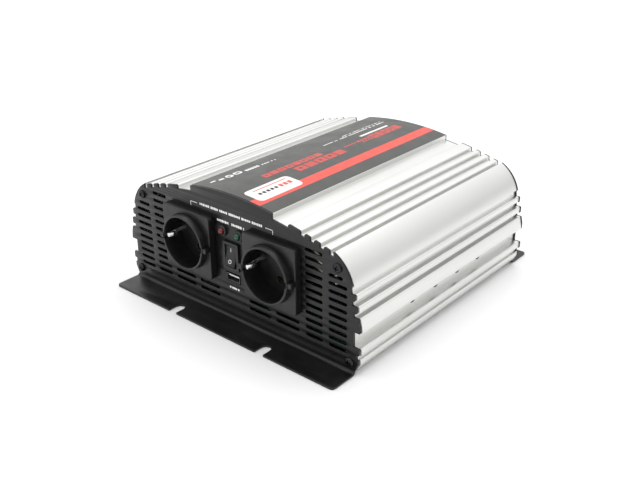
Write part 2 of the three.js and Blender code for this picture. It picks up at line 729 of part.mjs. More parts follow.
function terminalBase() {
  return solid(turned([
    [TERMINAL.stud + 0.2, -6],
    [TERMINAL.sleeve, -6],
    [TERMINAL.sleeve, 0],
    [TERMINAL.base, 0],
    [TERMINAL.base, TERMINAL.lift - 0.8],
    [TERMINAL.base - 0.8, TERMINAL.lift],
    [TERMINAL.stud + 0.2, TERMINAL.lift],
    [TERMINAL.stud + 0.2, -6],
  ], 16));
}

function terminalStud() {
  const end = TERMINAL.lift + TERMINAL.washer + TERMINAL.knobLength - 3;
  return solid(turned([
    [0, -14],
    [TERMINAL.stud, -14],
    [TERMINAL.stud, -10.5],
    [TERMINAL.head, -10.5],
    [TERMINAL.head, -6],
    [TERMINAL.stud, -6],
    [TERMINAL.stud, end - 0.8],
    [TERMINAL.stud - 0.8, end],
    [0, end],
  ], 14));
}

function terminalWasher() {
  const [y0, y1] = [TERMINAL.lift, TERMINAL.lift + TERMINAL.washer];
  const bore = TERMINAL.stud + 0.3;
  const rim = TERMINAL.washerRadius;
  return solid(turned([[bore, y0], [rim, y0], [rim, y1], [bore, y1], [bore, y0]], 16));
}

// Fluted cap with a blind thread that screws down on the stud
function terminalKnob() {
  const start = TERMINAL.lift + TERMINAL.washer;
  const end = start + TERMINAL.knobLength;
  const r = TERMINAL.knob;
  const bore = TERMINAL.stud + 0.25;
  const body = solid(turned([
    [bore, start],
    [r - 1, start],
    [r, start + 1],
    [r, end - 1.2],
    [r - 1.2, end],
    [0, end],
    [0, end - 2.2],
    [bore, end - 2.2],
    [bore, start],
  ], 24));
  const flutes = range(TERMINAL.flutes).map((i) => {
    const a = 0.1 + (i * 2 * Math.PI) / TERMINAL.flutes;
    return barY(1.5, (r + 0.6) * Math.cos(a), (r + 0.6) * Math.sin(a), start - 1, end + 1, 6);
  });
  return cut(body, ...flutes);
}

// ---- Inside ----

function mainBoard() {
  const { halfWidth, halfLength, thickness } = BOARD;
  return solid(box(-halfWidth, halfWidth, -halfLength, halfLength, RAIL.top, RAIL.top + thickness));
}

const boardTop = RAIL.top + BOARD.thickness;
const TRANSFORMER = { y: 40, width: 55, depth: 21, height: 44, leg: 9.5, middle: 17 };

// Two E-cores closed on each other: a frame with a middle leg
function transformerCore() {
  const { width, depth, height, leg, middle, y } = TRANSFORMER;
  const z = boardTop + 6;
  const [y0, y1] = [y - depth / 2, y + depth / 2];
  const block = solid(box(-width / 2, width / 2, y0, y1, z, z + height));
  const [inner, outer] = [middle / 2, width / 2 - leg];
  return cut(
    block,
    box(inner, outer, y0 - 1, y1 + 1, z + leg, z + height - leg),
    box(-outer, -inner, y0 - 1, y1 + 1, z + leg, z + height - leg));
}

// Winding on its bobbin, round the middle leg; the bobbin's feet stand on the board
function transformerWinding() {
  const { width, depth, height, leg, middle, y } = TRANSFORMER;
  const z = boardTop + 6;
  const gap = 0.4;
  const [z0, z1] = [z + leg + gap, z + height - leg - gap];
  const outerX = width / 2 - leg - 1;
  const outerY = depth / 2 + 9;
  const innerX = middle / 2 + gap;
  const innerY = depth / 2 + gap;
  const foot = (y0, y1) => box(4 - outerX, outerX - 4, y0, y1, boardTop, z0 + 2);
  const coil = join(
    extrudeZ(rectangle(2 * outerX, 2 * outerY, 0, y, 6), z0, z1, 4),
    foot(y - outerY + 1, y - innerY),
    foot(y + innerY, y + outerY - 1));
  return cut(coil, box(-innerX, innerX, y - innerY, y + innerY, z0 - 1, z1 + 1));
}

function busCapacitor() {
  const [r, height] = [15, 42];
  return solid(turned([[0, 0], [r - 1, 0], [r, 1], [r, height - 1], [r - 1.5, height], [0, height]], 18));
}

// Finned bar that the power transistors are clipped to
function heatsink() {
  const [length, height, plate] = [124, 37, 4];
  const fin = { count: 5, reach: 12, first: 9, pitch: 6, thick: 1.6 };
  const [y0, y1] = [-length / 2, length / 2];
  const fins = range(fin.count).map((i) => {
    const z = fin.first + i * fin.pitch;
    return box(-fin.reach, 0.5, y0, y1, z, z + fin.thick);
  });
  return join(box(0, plate, y0, y1, 0, height), ...fins);
}

// ---- Assembly ----

const inverter = new THREE.Group();
const SILVER = [0xc9ccce, 0.35, 0.9];
const STEEL_BLACK = [0x26282a, 0.6, 0.2];
const PLASTIC_BLACK = [0x141517, 0.45, 0];
const SCREW_BLACK = [0x1a1b1c, 0.4, 0.7];
const ZINC = [0xb4b6b8, 0.35, 0.9];
const BRASS = [0xc0a060, 0.35, 0.9];
const NICKEL = [0xd0cec4, 0.25, 0.95];
const BOARD_GREEN = [0x1d5a34, 0.6, 0];
const LABEL_GREY = [0x5c5e5c, 0.5, 0];
const COPPER_TAPE = [0xb08a3c, 0.6, 0.1];
const FERRITE = [0x2c2c2e, 0.7, 0.1];

function add(name, body, [color, roughness, metalness], group = inverter) {
  const material = new THREE.MeshStandardMaterial({ color, roughness, metalness });
  const mesh = new THREE.Mesh(toGeometry(body), material);
  mesh.name = name;
  group.add(mesh);
  return mesh;
}

function placed(x, y, z, turn = 0) {
  const group = new THREE.Group();
  group.position.set(x, y, z);
  group.rotation.z = turn;
  inverter.add(group);
  return group;
}

function addCase() {
  add('upper_shell', upperShell(), SILVER);
  add('lower_tray', lowerTray(), SILVER);
  add('front_panel', frontPanel(), STEEL_BLACK);
  add('rear_panel', rearPanel(), STEEL_BLACK);
  add('top_label', topLabel(), LABEL_GREY);
}

function addScrews() {
  const corners = [flip(UPPER_PORT), UPPER_PORT, flip(LOWER_PORT), LOWER_PORT];
  corners.forEach(([x, z], i) => {
    add(`front_panel_screw_${i + 1}`, screw(PANEL_SCREW), SCREW_BLACK, placed(x, -PANEL_FACE, z));
    add(`rear_panel_screw_${i + 1}`, screw(PANEL_SCREW), SCREW_BLACK, placed(x, PANEL_FACE, z, Math.PI));
  });
  sideScrewYs.forEach((y, i) => {
    const right = placed(WALL_X, y, SIDE_SCREW_Z, Math.PI / 2);
    const left = placed(-WALL_X, y, SIDE_SCREW_Z, -Math.PI / 2);
    add(`right_side_screw_${i + 1}`, screw(SIDE_SCREW), SCREW_BLACK, right);
    add(`left_side_screw_${i + 1}`, screw(SIDE_SCREW), SCREW_BLACK, left);
  });
}

function addSocket(side, x) {
  const place = placed(x, 0, SOCKET.z);
  add(`${side}_socket_housing`, socketHousing(), PLASTIC_BLACK, place);
  add(`${side}_earth_bracket`, earthBracket(), NICKEL, place);
  add(`${side}_socket_rear_cover`, socketRearCover(), PLASTIC_BLACK, place);
  for (const [where, dz] of [['upper', SOCKET.pinPitch / 2], ['lower', -SOCKET.pinPitch / 2]]) {
    add(`${side}_${where}_contact`, contactSleeve(), BRASS, placed(x, 0, SOCKET.z + dz));
  }
}

function addControls() {
  for (const [name, x, color] of [['fault', -LAMP.x, 0x8e1b1b], ['power', LAMP.x, 0x1f7a3c]]) {
    const place = placed(x, 0, LAMP.z);
    add(`${name}_lamp`, lampLens(), [color, 0.2, 0], place);
    add(`${name}_lamp_holder`, lampHolder(), PLASTIC_BLACK, place);
  }
  add('switch_housing', switchHousing(), PLASTIC_BLACK, placed(0, 0, SWITCH.z));
  const rocker = add('switch_rocker', switchRocker(), PLASTIC_BLACK, placed(0, ROCKER.pivotY, SWITCH.z));
  rocker.rotation.x = THREE.MathUtils.degToRad(-ROCKER.tilt);
  const port = placed(0, 0, USB.z);
  add('usb_shell', usbShell(), NICKEL, port);
  add('usb_tongue', usbTongue(), [0xe8e8e6, 0.5, 0], port);
  add('usb_board', usbBoard(), BOARD_GREEN, port);
}

function addFan() {
  const place = placed(0, 0, FAN.z);
  add('fan_frame', fanFrame(), PLASTIC_BLACK, place);
  add('fan_rotor', fanRotor(), PLASTIC_BLACK, place);
  const h = FAN.hole;
  [[-h, h], [h, h], [-h, -h], [h, -h]].forEach(([x, z], i) => {
    const long = { ...PANEL_SCREW, length: 14 };
    add(`fan_screw_${i + 1}`, screw(long), SCREW_BLACK, placed(x, PANEL_FACE, FAN.z + z, Math.PI));
  });
}

function addTerminals() {
  for (const [name, x, color] of [['positive', TERMINAL.x, 0xa81c1c], ['negative', -TERMINAL.x, 0x161616]]) {
    const place = placed(x, PANEL_FACE, TERMINAL.z);
    add(`${name}_terminal_base`, terminalBase(), [color, 0.5, 0], place);
    add(`${name}_terminal_stud`, terminalStud(), BRASS, place);
    add(`${name}_terminal_washer`, terminalWasher(), ZINC, place);
    add(`${name}_terminal_knob`, terminalKnob(), [color, 0.5, 0], place);
  }
}

function addInside() {
  add('main_board', mainBoard(), BOARD_GREEN);
  add('transformer_core', transformerCore(), FERRITE);
  add('transformer_winding', transformerWinding(), COPPER_TAPE);
  const capacitor = add('bus_capacitor', busCapacitor(), [0x22242c, 0.4, 0], placed(-45, -35, boardTop));
  capacitor.rotation.x = Math.PI / 2;
  add('right_heatsink', heatsink(), ZINC, placed(88, -5, boardTop));
  add('left_heatsink', heatsink(), ZINC, placed(-88, -5, boardTop, Math.PI));
}

addCase();
addScrews();
addSocket('left', -SOCKET.x);
addSocket('right', SOCKET.x);
addControls();
addFan();
addTerminals();
addInside();

export default inverter;
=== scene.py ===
"""Looks of the power inverter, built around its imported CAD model.

Lengths are written in millimetres and turned into metres as a mesh is made. X is to the right
seen from the sockets, the sockets face -Y, Z is up, and the mounting feet stand on z = 0.
"""

import json
import random
from math import acos, asin, atan2, ceil, copysign, cos, pi, radians, sin, sqrt, tan

import bmesh
import bpy
from mathutils import Matrix, Vector


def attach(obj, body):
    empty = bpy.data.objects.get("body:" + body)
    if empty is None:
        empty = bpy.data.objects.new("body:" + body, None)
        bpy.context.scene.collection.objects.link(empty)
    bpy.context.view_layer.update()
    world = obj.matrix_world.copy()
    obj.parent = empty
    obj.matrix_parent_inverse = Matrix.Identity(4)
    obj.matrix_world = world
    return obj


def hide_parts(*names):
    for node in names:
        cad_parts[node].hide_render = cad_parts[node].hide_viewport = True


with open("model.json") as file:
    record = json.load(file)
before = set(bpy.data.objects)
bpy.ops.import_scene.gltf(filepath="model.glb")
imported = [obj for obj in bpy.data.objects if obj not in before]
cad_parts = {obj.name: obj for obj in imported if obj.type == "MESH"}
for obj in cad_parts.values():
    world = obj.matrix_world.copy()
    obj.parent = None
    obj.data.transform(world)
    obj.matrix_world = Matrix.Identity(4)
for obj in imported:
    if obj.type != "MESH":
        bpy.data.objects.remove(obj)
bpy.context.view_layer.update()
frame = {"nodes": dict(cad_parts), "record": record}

MM = 0.001
rng = random.Random(7)

# ---- Driving dimensions, the same as the CAD model's ----

PANEL_FACE = 108.0
SHEET = 1.5
CASE_END = PANEL_FACE - SHEET
FOOT = {"half_width": 113.0, "reach": 23.0, "bend": 2.5, "corner": 3.0}
NOTCH = {"x": 45.5, "width": 8.2, "depth": 11.5}

ARCH = {"half_width": 40.8, "crown": 101.75, "radius": 243.0, "wall": 2.6}
LABEL = {"half_width": 40.5, "thickness": 0.22}
SHOULDER = {"crown": 96.8, "radius": 322.0, "wall": 2.6, "rib_height": 3.1}
TOP_RIBS = ((55.4, 66.2), (69.8, 74.8), (78.0, 83.1), (86.3, 91.4))
CORNER = {"x": 80.5, "z": 58.4, "radius": 31.5, "wall": 5.5, "start": 94.6, "end": 111.0}
SIDE_FINS = ((61.2, 56.2, 113.5), (52.9, 47.5, 115.3))
SIDE_RIB = {"top": 44.6, "bottom": 33.5, "tip_top": 116.4, "tip_middle": 117.7, "tip_bottom": 118.3}
WALL_X = 112.0
WALL = 2.5
SEAM_Z = 22.0
TRAY = {"floor": 3.5, "plate": 2.5, "fin": 16.3, "fin_tip": 117.6, "waist": 114.6,
        "sill": 13.0, "edge": 116.9}
LIP = {"outer": 109.2, "inner": 106.8, "top": 36.0}
RAIL = {"top": 14.0, "inner": 103.5, "thick": 1.6, "slot": 1.8, "keeper": 107.0}
RIB_ROUND = 1.2
FINE_ROUND = 0.35

UPPER_PORT = (98.3, 76.5)
LOWER_PORT = (108.8, 9.4)
PORT = {"radius": 4.0, "bore": 1.6}
SIDE_SCREW = {"z": 30.2, "pitch": 29.6, "first": -41.8}

SLOT_HEIGHT = 2.6
SLOT_PITCH = 5.93
INNER_SLOTS = {"x0": 69.8, "x1": 85.2, "top": 81.4, "count": 12}
OUTER_SLOTS = {"x0": 90.4, "x1": 106.2, "top": 69.3, "count": 10, "first_short": 3.7}
LOW_SLOTS = {"spans": ((15.5, 36.9), (41.8, 64.0)), "heights": (22.4, 16.3)}

SOCKET = {
    "x": 41.7, "z": 55.5, "bezel": 50.0, "corner": 2.5, "proud": 6.2, "rim": 11.3,
    "collar": 21.65, "recess": 19.8, "depth": 17.5, "floor": 2.0, "barrel": 21.2, "pin": 2.75, "pitch": 19.0,
}
CLIP = {"leg": 20.4, "thickness": 0.7, "width": 3.2, "tip": 3.2}
LUG = {"proud": 4.6, "half": 2.0}
LAMP = {"x": 8.2, "z": 72.0, "lens": 2.5, "ring": 4.25, "hole": 3.7}
SWITCH = {"z": 54.0, "width": 16.0, "height": 22.0, "proud": 2.0, "window": (10.9, 17.6)}
ROCKER = {"pivot": -107.2, "tilt": 10.0, "radius": 8.4, "width": 10.3, "face": 3.4, "dip": 2.2, "heel": 1.6}
USB = {"z": 36.0, "width": 13.4, "height": 6.0, "wall": 0.5, "depth": 14.0, "cut": (14.6, 7.7)}

FAN = {"z": 52.0, "size": 60.0, "depth": 15.0, "bore": 28.6, "hub": 13.0, "blades": 7,
       "tip": 27.6, "hole": 25.0}
GRILLE = {"rings": ((9.0, 13.5), (16.0, 20.5), (23.0, 27.5)), "spokes": 4, "spoke": 3.0}
TERMINAL = {"x": 74.0, "z": 50.0, "stud": 3.95, "head": 7.4, "sleeve": 7.0, "base": 12.0, "knob": 10.8,
            "lift": 3.0, "washer": 1.6, "washer_radius": 8.2, "knob_length": 15.0, "flutes": 12}
REAR_SLOTS = {"x0": 63.0, "x1": 85.0, "heights": (83.5, 77.5, 71.5, 28.5, 22.5)}
BOARD_TOP = RAIL["top"] + 1.6

# ---- The end sheets' side teeth against the case's outline, the light and the view ----

FRONT_TEETH = {"tips": -1.1, "roots": -0.4}
REAR_TEETH = {"tips": 0.5, "roots": 1.1}
TOOTH_ROUND = 0.9
WIDEST = SIDE_RIB["tip_bottom"] - 0.12

STUDIO = {"bright_side": (-0.22, 0.12, 0.97), "levels": (0.52, 1.28),
          "sun": 0.58, "soft": 60, "tilt": (-14, -10, 0)}
CAMERA = {"azimuth": 40.53, "elevation": 25.43, "roll": -0.44, "lens": 47.56,
          "place": (0.40348, -0.48230, 0.32603)}


# ---- Outlines ----

def steps(start, end, count):
    return [start + (end - start) * i / count for i in range(count + 1)]


def circle_z(x, crown, radius):
    return crown - radius + sqrt(radius ** 2 - x ** 2)


def arch_z(x):
    return circle_z(x, ARCH["crown"], ARCH["radius"])


def shoulder_z(x):
    return circle_z(x, SHOULDER["crown"], SHOULDER["radius"])


def wall_x(z):
    """Outer face of the side wall, which leans out from the corner down to the plain band."""
    knee, top, lean = 45.0, 65.0, 2.7
    return WALL_X if z < knee else WALL_X - lean * ((z - knee) / (top - knee)) ** 0.7


def arc(cx, cz, radius, start, end, count):
    return [(cx + radius * cos(a), cz + radius * sin(a)) for a in steps(start, end, count)]


def filleted(corners, count=4):
    """A closed outline through (x, z) or (x, z, radius) corners, with an arc at each radius."""
    outline = []
    for i, (x, z, *radius) in enumerate(corners):
        if not radius:
            outline.append((x, z))
            continue
        here = Vector((x, z))
        back = Vector(corners[i - 1][:2]) - here
        ahead = Vector(corners[(i + 1) % len(corners)][:2]) - here
        half = back.angle(ahead) / 2
        reach = min(radius[0] / tan(half), 0.48 * back.length, 0.48 * ahead.length)
        back.normalize()
        ahead.normalize()
        size = reach * tan(half)
        centre = here + (back + ahead).normalized() * size / sin(half)
        spoke = here + back * reach - centre
        sweep = copysign(pi - 2 * half, -back.cross(ahead))
        for part in steps(0, sweep, count):
            point = centre + Matrix.Rotation(part, 2) @ spoke
            outline.append((point.x, point.y))
    return outline


def mirrored(half):
    """Adds the left half of an outline whose right half starts and ends on the centre line."""
    return half + [(-x, *rest) for x, *rest in half[-2:0:-1]]


def rectangle(width, height, cx=0.0, cz=0.0, radius=0.0):
    w, h = width / 2, height / 2
    corners = [(cx - w, cz - h), (cx + w, cz - h), (cx + w, cz + h), (cx - w, cz + h)]
    return filleted([(*c, radius) for c in corners], 5) if radius else corners


def circle(radius, cx=0.0, cz=0.0, count=48):
    return arc(cx, cz, radius, 0, 2 * pi * (1 - 1 / count), count - 1)


def slot(x0, x1, z, height=SLOT_HEIGHT):
    r = height / 2
    return (arc(x1 - r, z, r, -pi / 2, pi / 2, 6)
            + arc(x0 + r, z, r, pi / 2, 3 * pi / 2, 6))


def both_sides(outline):
    return [outline, [(-x, z) for x, z in outline]]


def top_rib(span):
    x0, x1 = span
    crown = SHOULDER["crown"] + SHOULDER["rib_height"]
    radius = SHOULDER["radius"] + SHOULDER["rib_height"]
    return [
        (x0, shoulder_z(x0), FINE_ROUND),
        (x0, circle_z(x0, crown, radius), RIB_ROUND),
        (x1, circle_z(x1, crown, radius), RIB_ROUND),
        (x1, shoulder_z(x1), FINE_ROUND),
    ]


def corner_arc(radius, x0, x1, count):
    start, end = (acos((x - CORNER["x"]) / radius) for x in (x0, x1))
    return arc(CORNER["x"], CORNER["z"], radius, start, end, count)


def side_fin(fin):
    top, bottom, tip = fin
    return [
        (wall_x(top), top, FINE_ROUND),
        (tip, top, RIB_ROUND),
        (tip, bottom, RIB_ROUND),
        (wall_x(bottom), bottom, FINE_ROUND),
    ]


def cover_outside():
    """Right half of the outside of the cover, from the crown down to the seam."""
    edge = ARCH["half_width"]
    rib = SIDE_RIB
    return [
        *((x, arch_z(x)) for x in steps(0, edge - 1, 16)),
        (edge, arch_z(edge), FINE_ROUND),
        (edge, shoulder_z(edge), FINE_ROUND),
        *((x, shoulder_z(x)) for x in steps(edge + 1.5, TOP_RIBS[0][0] - 1.5, 3)),
        *(corner for span in TOP_RIBS for corner in top_rib(span)),
        (CORNER["start"], shoulder_z(CORNER["start"]), FINE_ROUND),
        *corner_arc(CORNER["radius"], CORNER["start"] + 0.3, CORNER["end"], 22),
        (wall_x(65), 65),
        *(corner for fin in SIDE_FINS for corner in side_fin(fin)),
        (WALL_X, rib["top"], FINE_ROUND),
        (rib["tip_top"], rib["top"], 1.0),
        (rib["tip_middle"], (rib["top"] + rib["bottom"]) / 2),
        (rib["tip_bottom"], rib["bottom"], 1.0),
        (WALL_X, rib["bottom"], FINE_ROUND),
        (WALL_X, SEAM_Z),
    ]


def tray_outside():
    """Right half of the outside of the tray, from the seam down to its bottom corner."""
    return [
        (TRAY["fin_tip"], SEAM_Z, RIB_ROUND),
        (TRAY["fin_tip"], TRAY["fin"], RIB_ROUND),
        (TRAY["waist"], TRAY["fin"], FINE_ROUND),
        (TRAY["waist"], TRAY["sill"], FINE_ROUND),
        (TRAY["edge"], TRAY["sill"], 0.8),
        (TRAY["edge"] - 0.1, 9.5, 2.4),
    ]


def cover_inside():
    radius = CORNER["radius"] - CORNER["wall"]
    inner_x = CORNER["x"] + radius
    arch_inner = ARCH["half_width"] - 3
    return [
        (WALL_X - WALL, SEAM_Z),
        (WALL_X - WALL, 45),
        (inner_x + 0.6, 54),
        *corner_arc(radius, inner_x, 96, 10),
        *((x, shoulder_z(x) - SHOULDER["wall"]) for x in steps(84, arch_inner, 6)),
        *((x, arch_z(x) - ARCH["wall"]) for x in steps(arch_inner, 0, 8)),
    ]


def tray_half():
    inner = TRAY["waist"] - WALL
    top = TRAY["floor"] + TRAY["plate"]
    keeper = RAIL["top"] + RAIL["slot"]
    return [
        (0, TRAY["floor"]),
        (113.2, TRAY["floor"], 1.5),
        *reversed(tray_outside()),
        (LIP["outer"], SEAM_Z),
        (LIP["outer"], LIP["top"], FINE_ROUND),
        (LIP["inner"], LIP["top"], FINE_ROUND),
        (LIP["inner"], SEAM_Z - WALL),
        (inner, SEAM_Z - WALL),
        (inner, keeper + RAIL["thick"]),
        (RAIL["keeper"], keeper + RAIL["thick"]),
        (RAIL["keeper"], keeper),
        (inner, keeper),
        (inner, RAIL["top"]),
        (RAIL["inner"], RAIL["top"]),
        (RAIL["inner"], RAIL["top"] - RAIL["thick"]),
        (inner, RAIL["top"] - RAIL["thick"]),
        (inner, top),
        (0, top),
    ]


# ---- Meshes ----

TURNS = {
    "X": Matrix(((0, 0, 1, 0), (1, 0, 0, 0), (0, 1, 0, 0), (0, 0, 0, 1))),
    "Y": Matrix(((1, 0, 0, 0), (0, 0, -1, 0), (0, 1, 0, 0), (0, 0, 0, 1))),
    "Z": Matrix.Identity(4),
}


def cleaned(mesh, sharp=38.0):
    """Merges doubled corners, turns the faces out, and shades it smooth up to the sharp angle."""
    work = bmesh.new()
    work.from_mesh(mesh)
    bmesh.ops.remove_doubles(work, verts=work.verts, dist=1e-3)
    bmesh.ops.dissolve_degenerate(work, edges=work.edges, dist=1e-4)
    bmesh.ops.recalc_face_normals(work, faces=work.faces)
    work.to_mesh(mesh)
    work.free()
    mesh.shade_smooth()
    mesh.set_sharp_from_angle(angle=radians(sharp))
    return mesh


def linked(name, data):
    made = bpy.data.objects.new(name, data)
    bpy.context.scene.collection.objects.link(made)
    return made


def from_curve(curve):
    holder = bpy.data.objects.new("curve", curve)
    mesh = bpy.data.meshes.new_from_object(holder)
    bpy.data.objects.remove(holder)
    bpy.data.curves.remove(curve)
    return mesh


def extruded(outlines, start, end, bevel=0.0, axis="Y"):
    """Outlines, the first one outermost, drawn across the axis and pulled along it. Millimetres."""
    curve = bpy.data.curves.new("outline", "CURVE")
    curve.dimensions = "2D"
    curve.fill_mode = "BOTH"
    for outline in outlines:
        spline = curve.splines.new("POLY")
        spline.points.add(len(outline) - 1)
        for point, (u, v) in zip(spline.points, outline):
            point.co = (u, v, 0, 1)
        spline.use_cyclic_u = True
    curve.extrude = (end - start) / 2 - bevel
    if bevel:
        curve.bevel_depth = bevel
        curve.bevel_resolution = 1
        curve.offset = -bevel
    mesh = from_curve(curve)
    middle = {"X": (1, 0, 0), "Y": (0, 1, 0), "Z": (0, 0, 1)}[axis]
    mesh.transform(Matrix.Translation(Vector(middle) * (start + end) / 2) @ TURNS[axis])
    cleaned(mesh)
    along = "XYZ".index(axis)
    for face in mesh.polygons:
        if abs(face.normal[along]) > 0.9995:
            face.use_smooth = False
    return mesh


def slab(x0, x1, y0, y1, z0, z1, bevel=0.3, corner=None):
    """A moulded block with rounded edges."""
    outline = rectangle(x1 - x0, z1 - z0, (x0 + x1) / 2, (z0 + z1) / 2, corner or bevel)
    return extruded([outline], y0, y1, bevel)


def lathed(profile, sides=48, axis="Y", sharp=38.0):
    """A turned piece from (radius, distance along the axis) pairs; it ends on the axis or closes."""
    work = bmesh.new()
    closed = all(r > 1e-9 for r, _ in profile)
    rings = []
    for r, y in profile:
        if r < 1e-9:
            rings.append([work.verts.new((0, y, 0))])
        else:
            turn = [2 * pi * i / sides for i in range(sides)]
            rings.append([work.verts.new((r * cos(a), y, r * sin(a))) for a in turn])
    pairs = list(zip(rings, rings[1:]))
    if closed:
        pairs.append((rings[-1], rings[0]))
    for near, far in pairs:
        for i in range(sides):
            j = (i + 1) % sides
            if len(near) == 1 and len(far) == 1:
                continue
            if len(near) == 1:
                work.faces.new((near[0], far[j], far[i]))
            elif len(far) == 1:
                work.faces.new((near[i], near[j], far[0]))
            else:
                work.faces.new((near[i], near[j], far[j], far[i]))
    mesh = bpy.data.meshes.new("turned")
    work.to_mesh(mesh)
    work.free()
    if axis == "Z":
        mesh.transform(Matrix.Rotation(pi / 2, 4, "X"))
    return cleaned(mesh, sharp)


def disc(radius, start, end, sides=48, axis="Y"):
    return lathed([(0, start), (radius, start), (radius, end), (0, end)], sides, axis)


def tube(points, radius, sides=10):
    """A round wire along a smooth path."""
    curve = bpy.data.curves.new("wire", "CURVE")
    curve.dimensions = "3D"
    curve.bevel_depth = radius
    curve.bevel_resolution = max(1, sides // 4)
    curve.use_fill_caps = True
    curve.resolution_u = 6
    spline = curve.splines.new("NURBS")
    spline.points.add(len(points) - 1)
    for point, place in zip(spline.points, points):
        point.co = (*place, 1)
    spline.use_endpoint_u = True
    spline.order_u = 4
    return cleaned(from_curve(curve))


def ribbon(line, thickness, width, rounding=0.0):
    """A strip of even thickness that follows (x, y) points; its width is its height in Z."""
    sides = ([], [])
    for i, (x, y) in enumerate(line):
        before, after = Vector(line[max(i - 1, 0)]), Vector(line[min(i + 1, len(line) - 1)])
        along = (after - before).normalized()
        offset = Vector((-along.y, along.x)) * thickness / 2
        sides[0].append((x + offset.x, y + offset.y, rounding))
        sides[1].append((x - offset.x, y - offset.y, rounding))
    outline = [*sides[0], *reversed(sides[1])]
    ends = {0, len(line) - 1, len(line), 2 * len(line) - 1}
    corners = [point[:2] if i in ends else point for i, point in enumerate(outline)]
    return extruded([filleted(corners, 3)], -width / 2, width / 2, 0.12, axis="Z")


def moved(mesh, x=0.0, y=0.0, z=0.0, turn=0.0, axis="Z"):
    copy = mesh.copy()
    copy.transform(Matrix.Translation((x, y, z)) @ Matrix.Rotation(turn, 4, axis))
    return copy


def merged(*meshes):
    work = bmesh.new()
    for mesh in meshes:
        work.from_mesh(mesh)
    whole = bpy.data.meshes.new("merged")
    work.to_mesh(whole)
    work.free()
    return whole


def carved(mesh, *tools, sharp=38.0):
    """Cuts closed tool meshes out of a closed mesh."""
    body = linked("body", mesh)
    cutters = [linked("cutter", tool) for tool in tools]
    for cutter in cutters:
        cut = body.modifiers.new("cut", "BOOLEAN")
        cut.operation = "DIFFERENCE"
        cut.solver = "EXACT"
        cut.object = cutter
    result = bpy.data.meshes.new_from_object(body.evaluated_get(bpy.context.evaluated_depsgraph_get()))
    for item in [body, *cutters]:
        bpy.data.objects.remove(item)
    return cleaned(result, sharp)


# ---- Materials ----

MIX_COLORS, MIX_RESULT = (6, 7), 2  # a Mix node's colour sockets, whose names repeat those of its values


def mapped(tree, source, *limits):
    """Maps a value's range, limits[0] to limits[1], to the range limits[2] to limits[3]."""
    node = tree.nodes.new("ShaderNodeMapRange")
    for socket, value in zip(("From Min", "From Max", "To Min", "To Max"), limits):
        node.inputs[socket].default_value = value
    tree.links.new(source, node.inputs["Value"])
    return node.outputs["Result"]


class Finish:
    """A Principled material whose colour, roughness and bump vary over the surface."""

    def __init__(self, name, color, roughness, metallic=0.0, **sockets):
        self.material = bpy.data.materials.new(name)
        self.material.use_nodes = True
        self.tree = self.material.node_tree
        self.shader = self.tree.nodes["Principled BSDF"]
        self.color = color
        self.shader.inputs["Base Color"].default_value = (*color, 1)
        self.shader.inputs["Roughness"].default_value = roughness
        self.shader.inputs["Metallic"].default_value = metallic
        for socket, value in sockets.items():
            self.shader.inputs[socket.replace("_", " ")].default_value = value
        self.place = self.tree.nodes.new("ShaderNodeTexCoord").outputs["Object"]

    def link(self, source, target):
        self.tree.links.new(source, target)

    def noise(self, size, detail=2.0, stretch=(1, 1, 1)):
        """Noise whose features are about size millimetres, stretched along the axes."""
        mapping = self.tree.nodes.new("ShaderNodeMapping")
        mapping.inputs["Scale"].default_value = [1 / s for s in stretch]
        self.link(self.place, mapping.inputs["Vector"])
        noise = self.tree.nodes.new("ShaderNodeTexNoise")
        noise.inputs["Scale"].default_value = 1 / (size * MM)
        noise.inputs["Detail"].default_value = detail
        self.link(mapping.outputs["Vector"], noise.inputs["Vector"])
        return noise.outputs["Fac"]

    def spread(self, factor, low, high):
        """Stretches the middle of a noise's range to the values from low to high."""
        return mapped(self.tree, factor, 0.35, 0.65, low, high)

    def tint(self, factor, other):
        """Mixes the base colour towards another one where the factor is high."""
        mix = self.tree.nodes.new("ShaderNodeMix")
        mix.data_type = "RGBA"
        for socket, color in zip(MIX_COLORS, (self.color, other)):
            mix.inputs[socket].default_value = (*color, 1)
        self.link(factor, mix.inputs["Factor"])
        self.link(mix.outputs[MIX_RESULT], self.shader.inputs["Base Color"])

    def rough(self, factor, low, high):
        self.link(self.spread(factor, low, high), self.shader.inputs["Roughness"])

    def bump(self, *heights):
        """Each height is (factor, depth in millimetres)."""
        before = None
        for factor, depth in heights:
            node = self.tree.nodes.new("ShaderNodeBump")
            node.inputs["Strength"].default_value = 1.0
            node.inputs["Distance"].default_value = depth * MM
            self.link(factor, node.inputs["Height"])
            if before is not None:
                self.link(before, node.inputs["Normal"])
            before = node.outputs["Normal"]
        self.link(before, self.shader.inputs["Normal"])


def scaled(color, factor):
    return tuple(c * factor for c in color)


def textured(name, color, roughness, tint, rough, *bumps, metallic=0.0, **sockets):
    """Tint is (noise, amount, other colour), rough (noise, low, high) and a bump (noise, millimetres)."""
    f = Finish(name, color, roughness, metallic, **sockets)
    cloud, amount, other = tint
    f.tint(f.spread(f.noise(*cloud), 0, amount), other)
    f.rough(f.noise(*rough[0]), *rough[1:])
    f.bump(*((f.noise(*height), depth) for height, depth in bumps))
    return f.material


def moulded(name, color, low=0.30, high=0.42):
    """Injection-moulded plastic with a fine spark-eroded texture."""
    return textured(name, color, low, ((14, 3), 0.6, scaled(color, 1.4)), ((5, 4), low, high),
                    ((0.3, 3), 0.01), ((3.0, 2), 0.01))


def ink(name, color, roughness=0.4):
    return textured(name, color, roughness, ((3, 4), 0.35, scaled(color, 0.9)),
                    ((6, 3), roughness - 0.05, roughness + 0.07), ((0.35, 2), 0.004), Specular_IOR_Level=0.34)


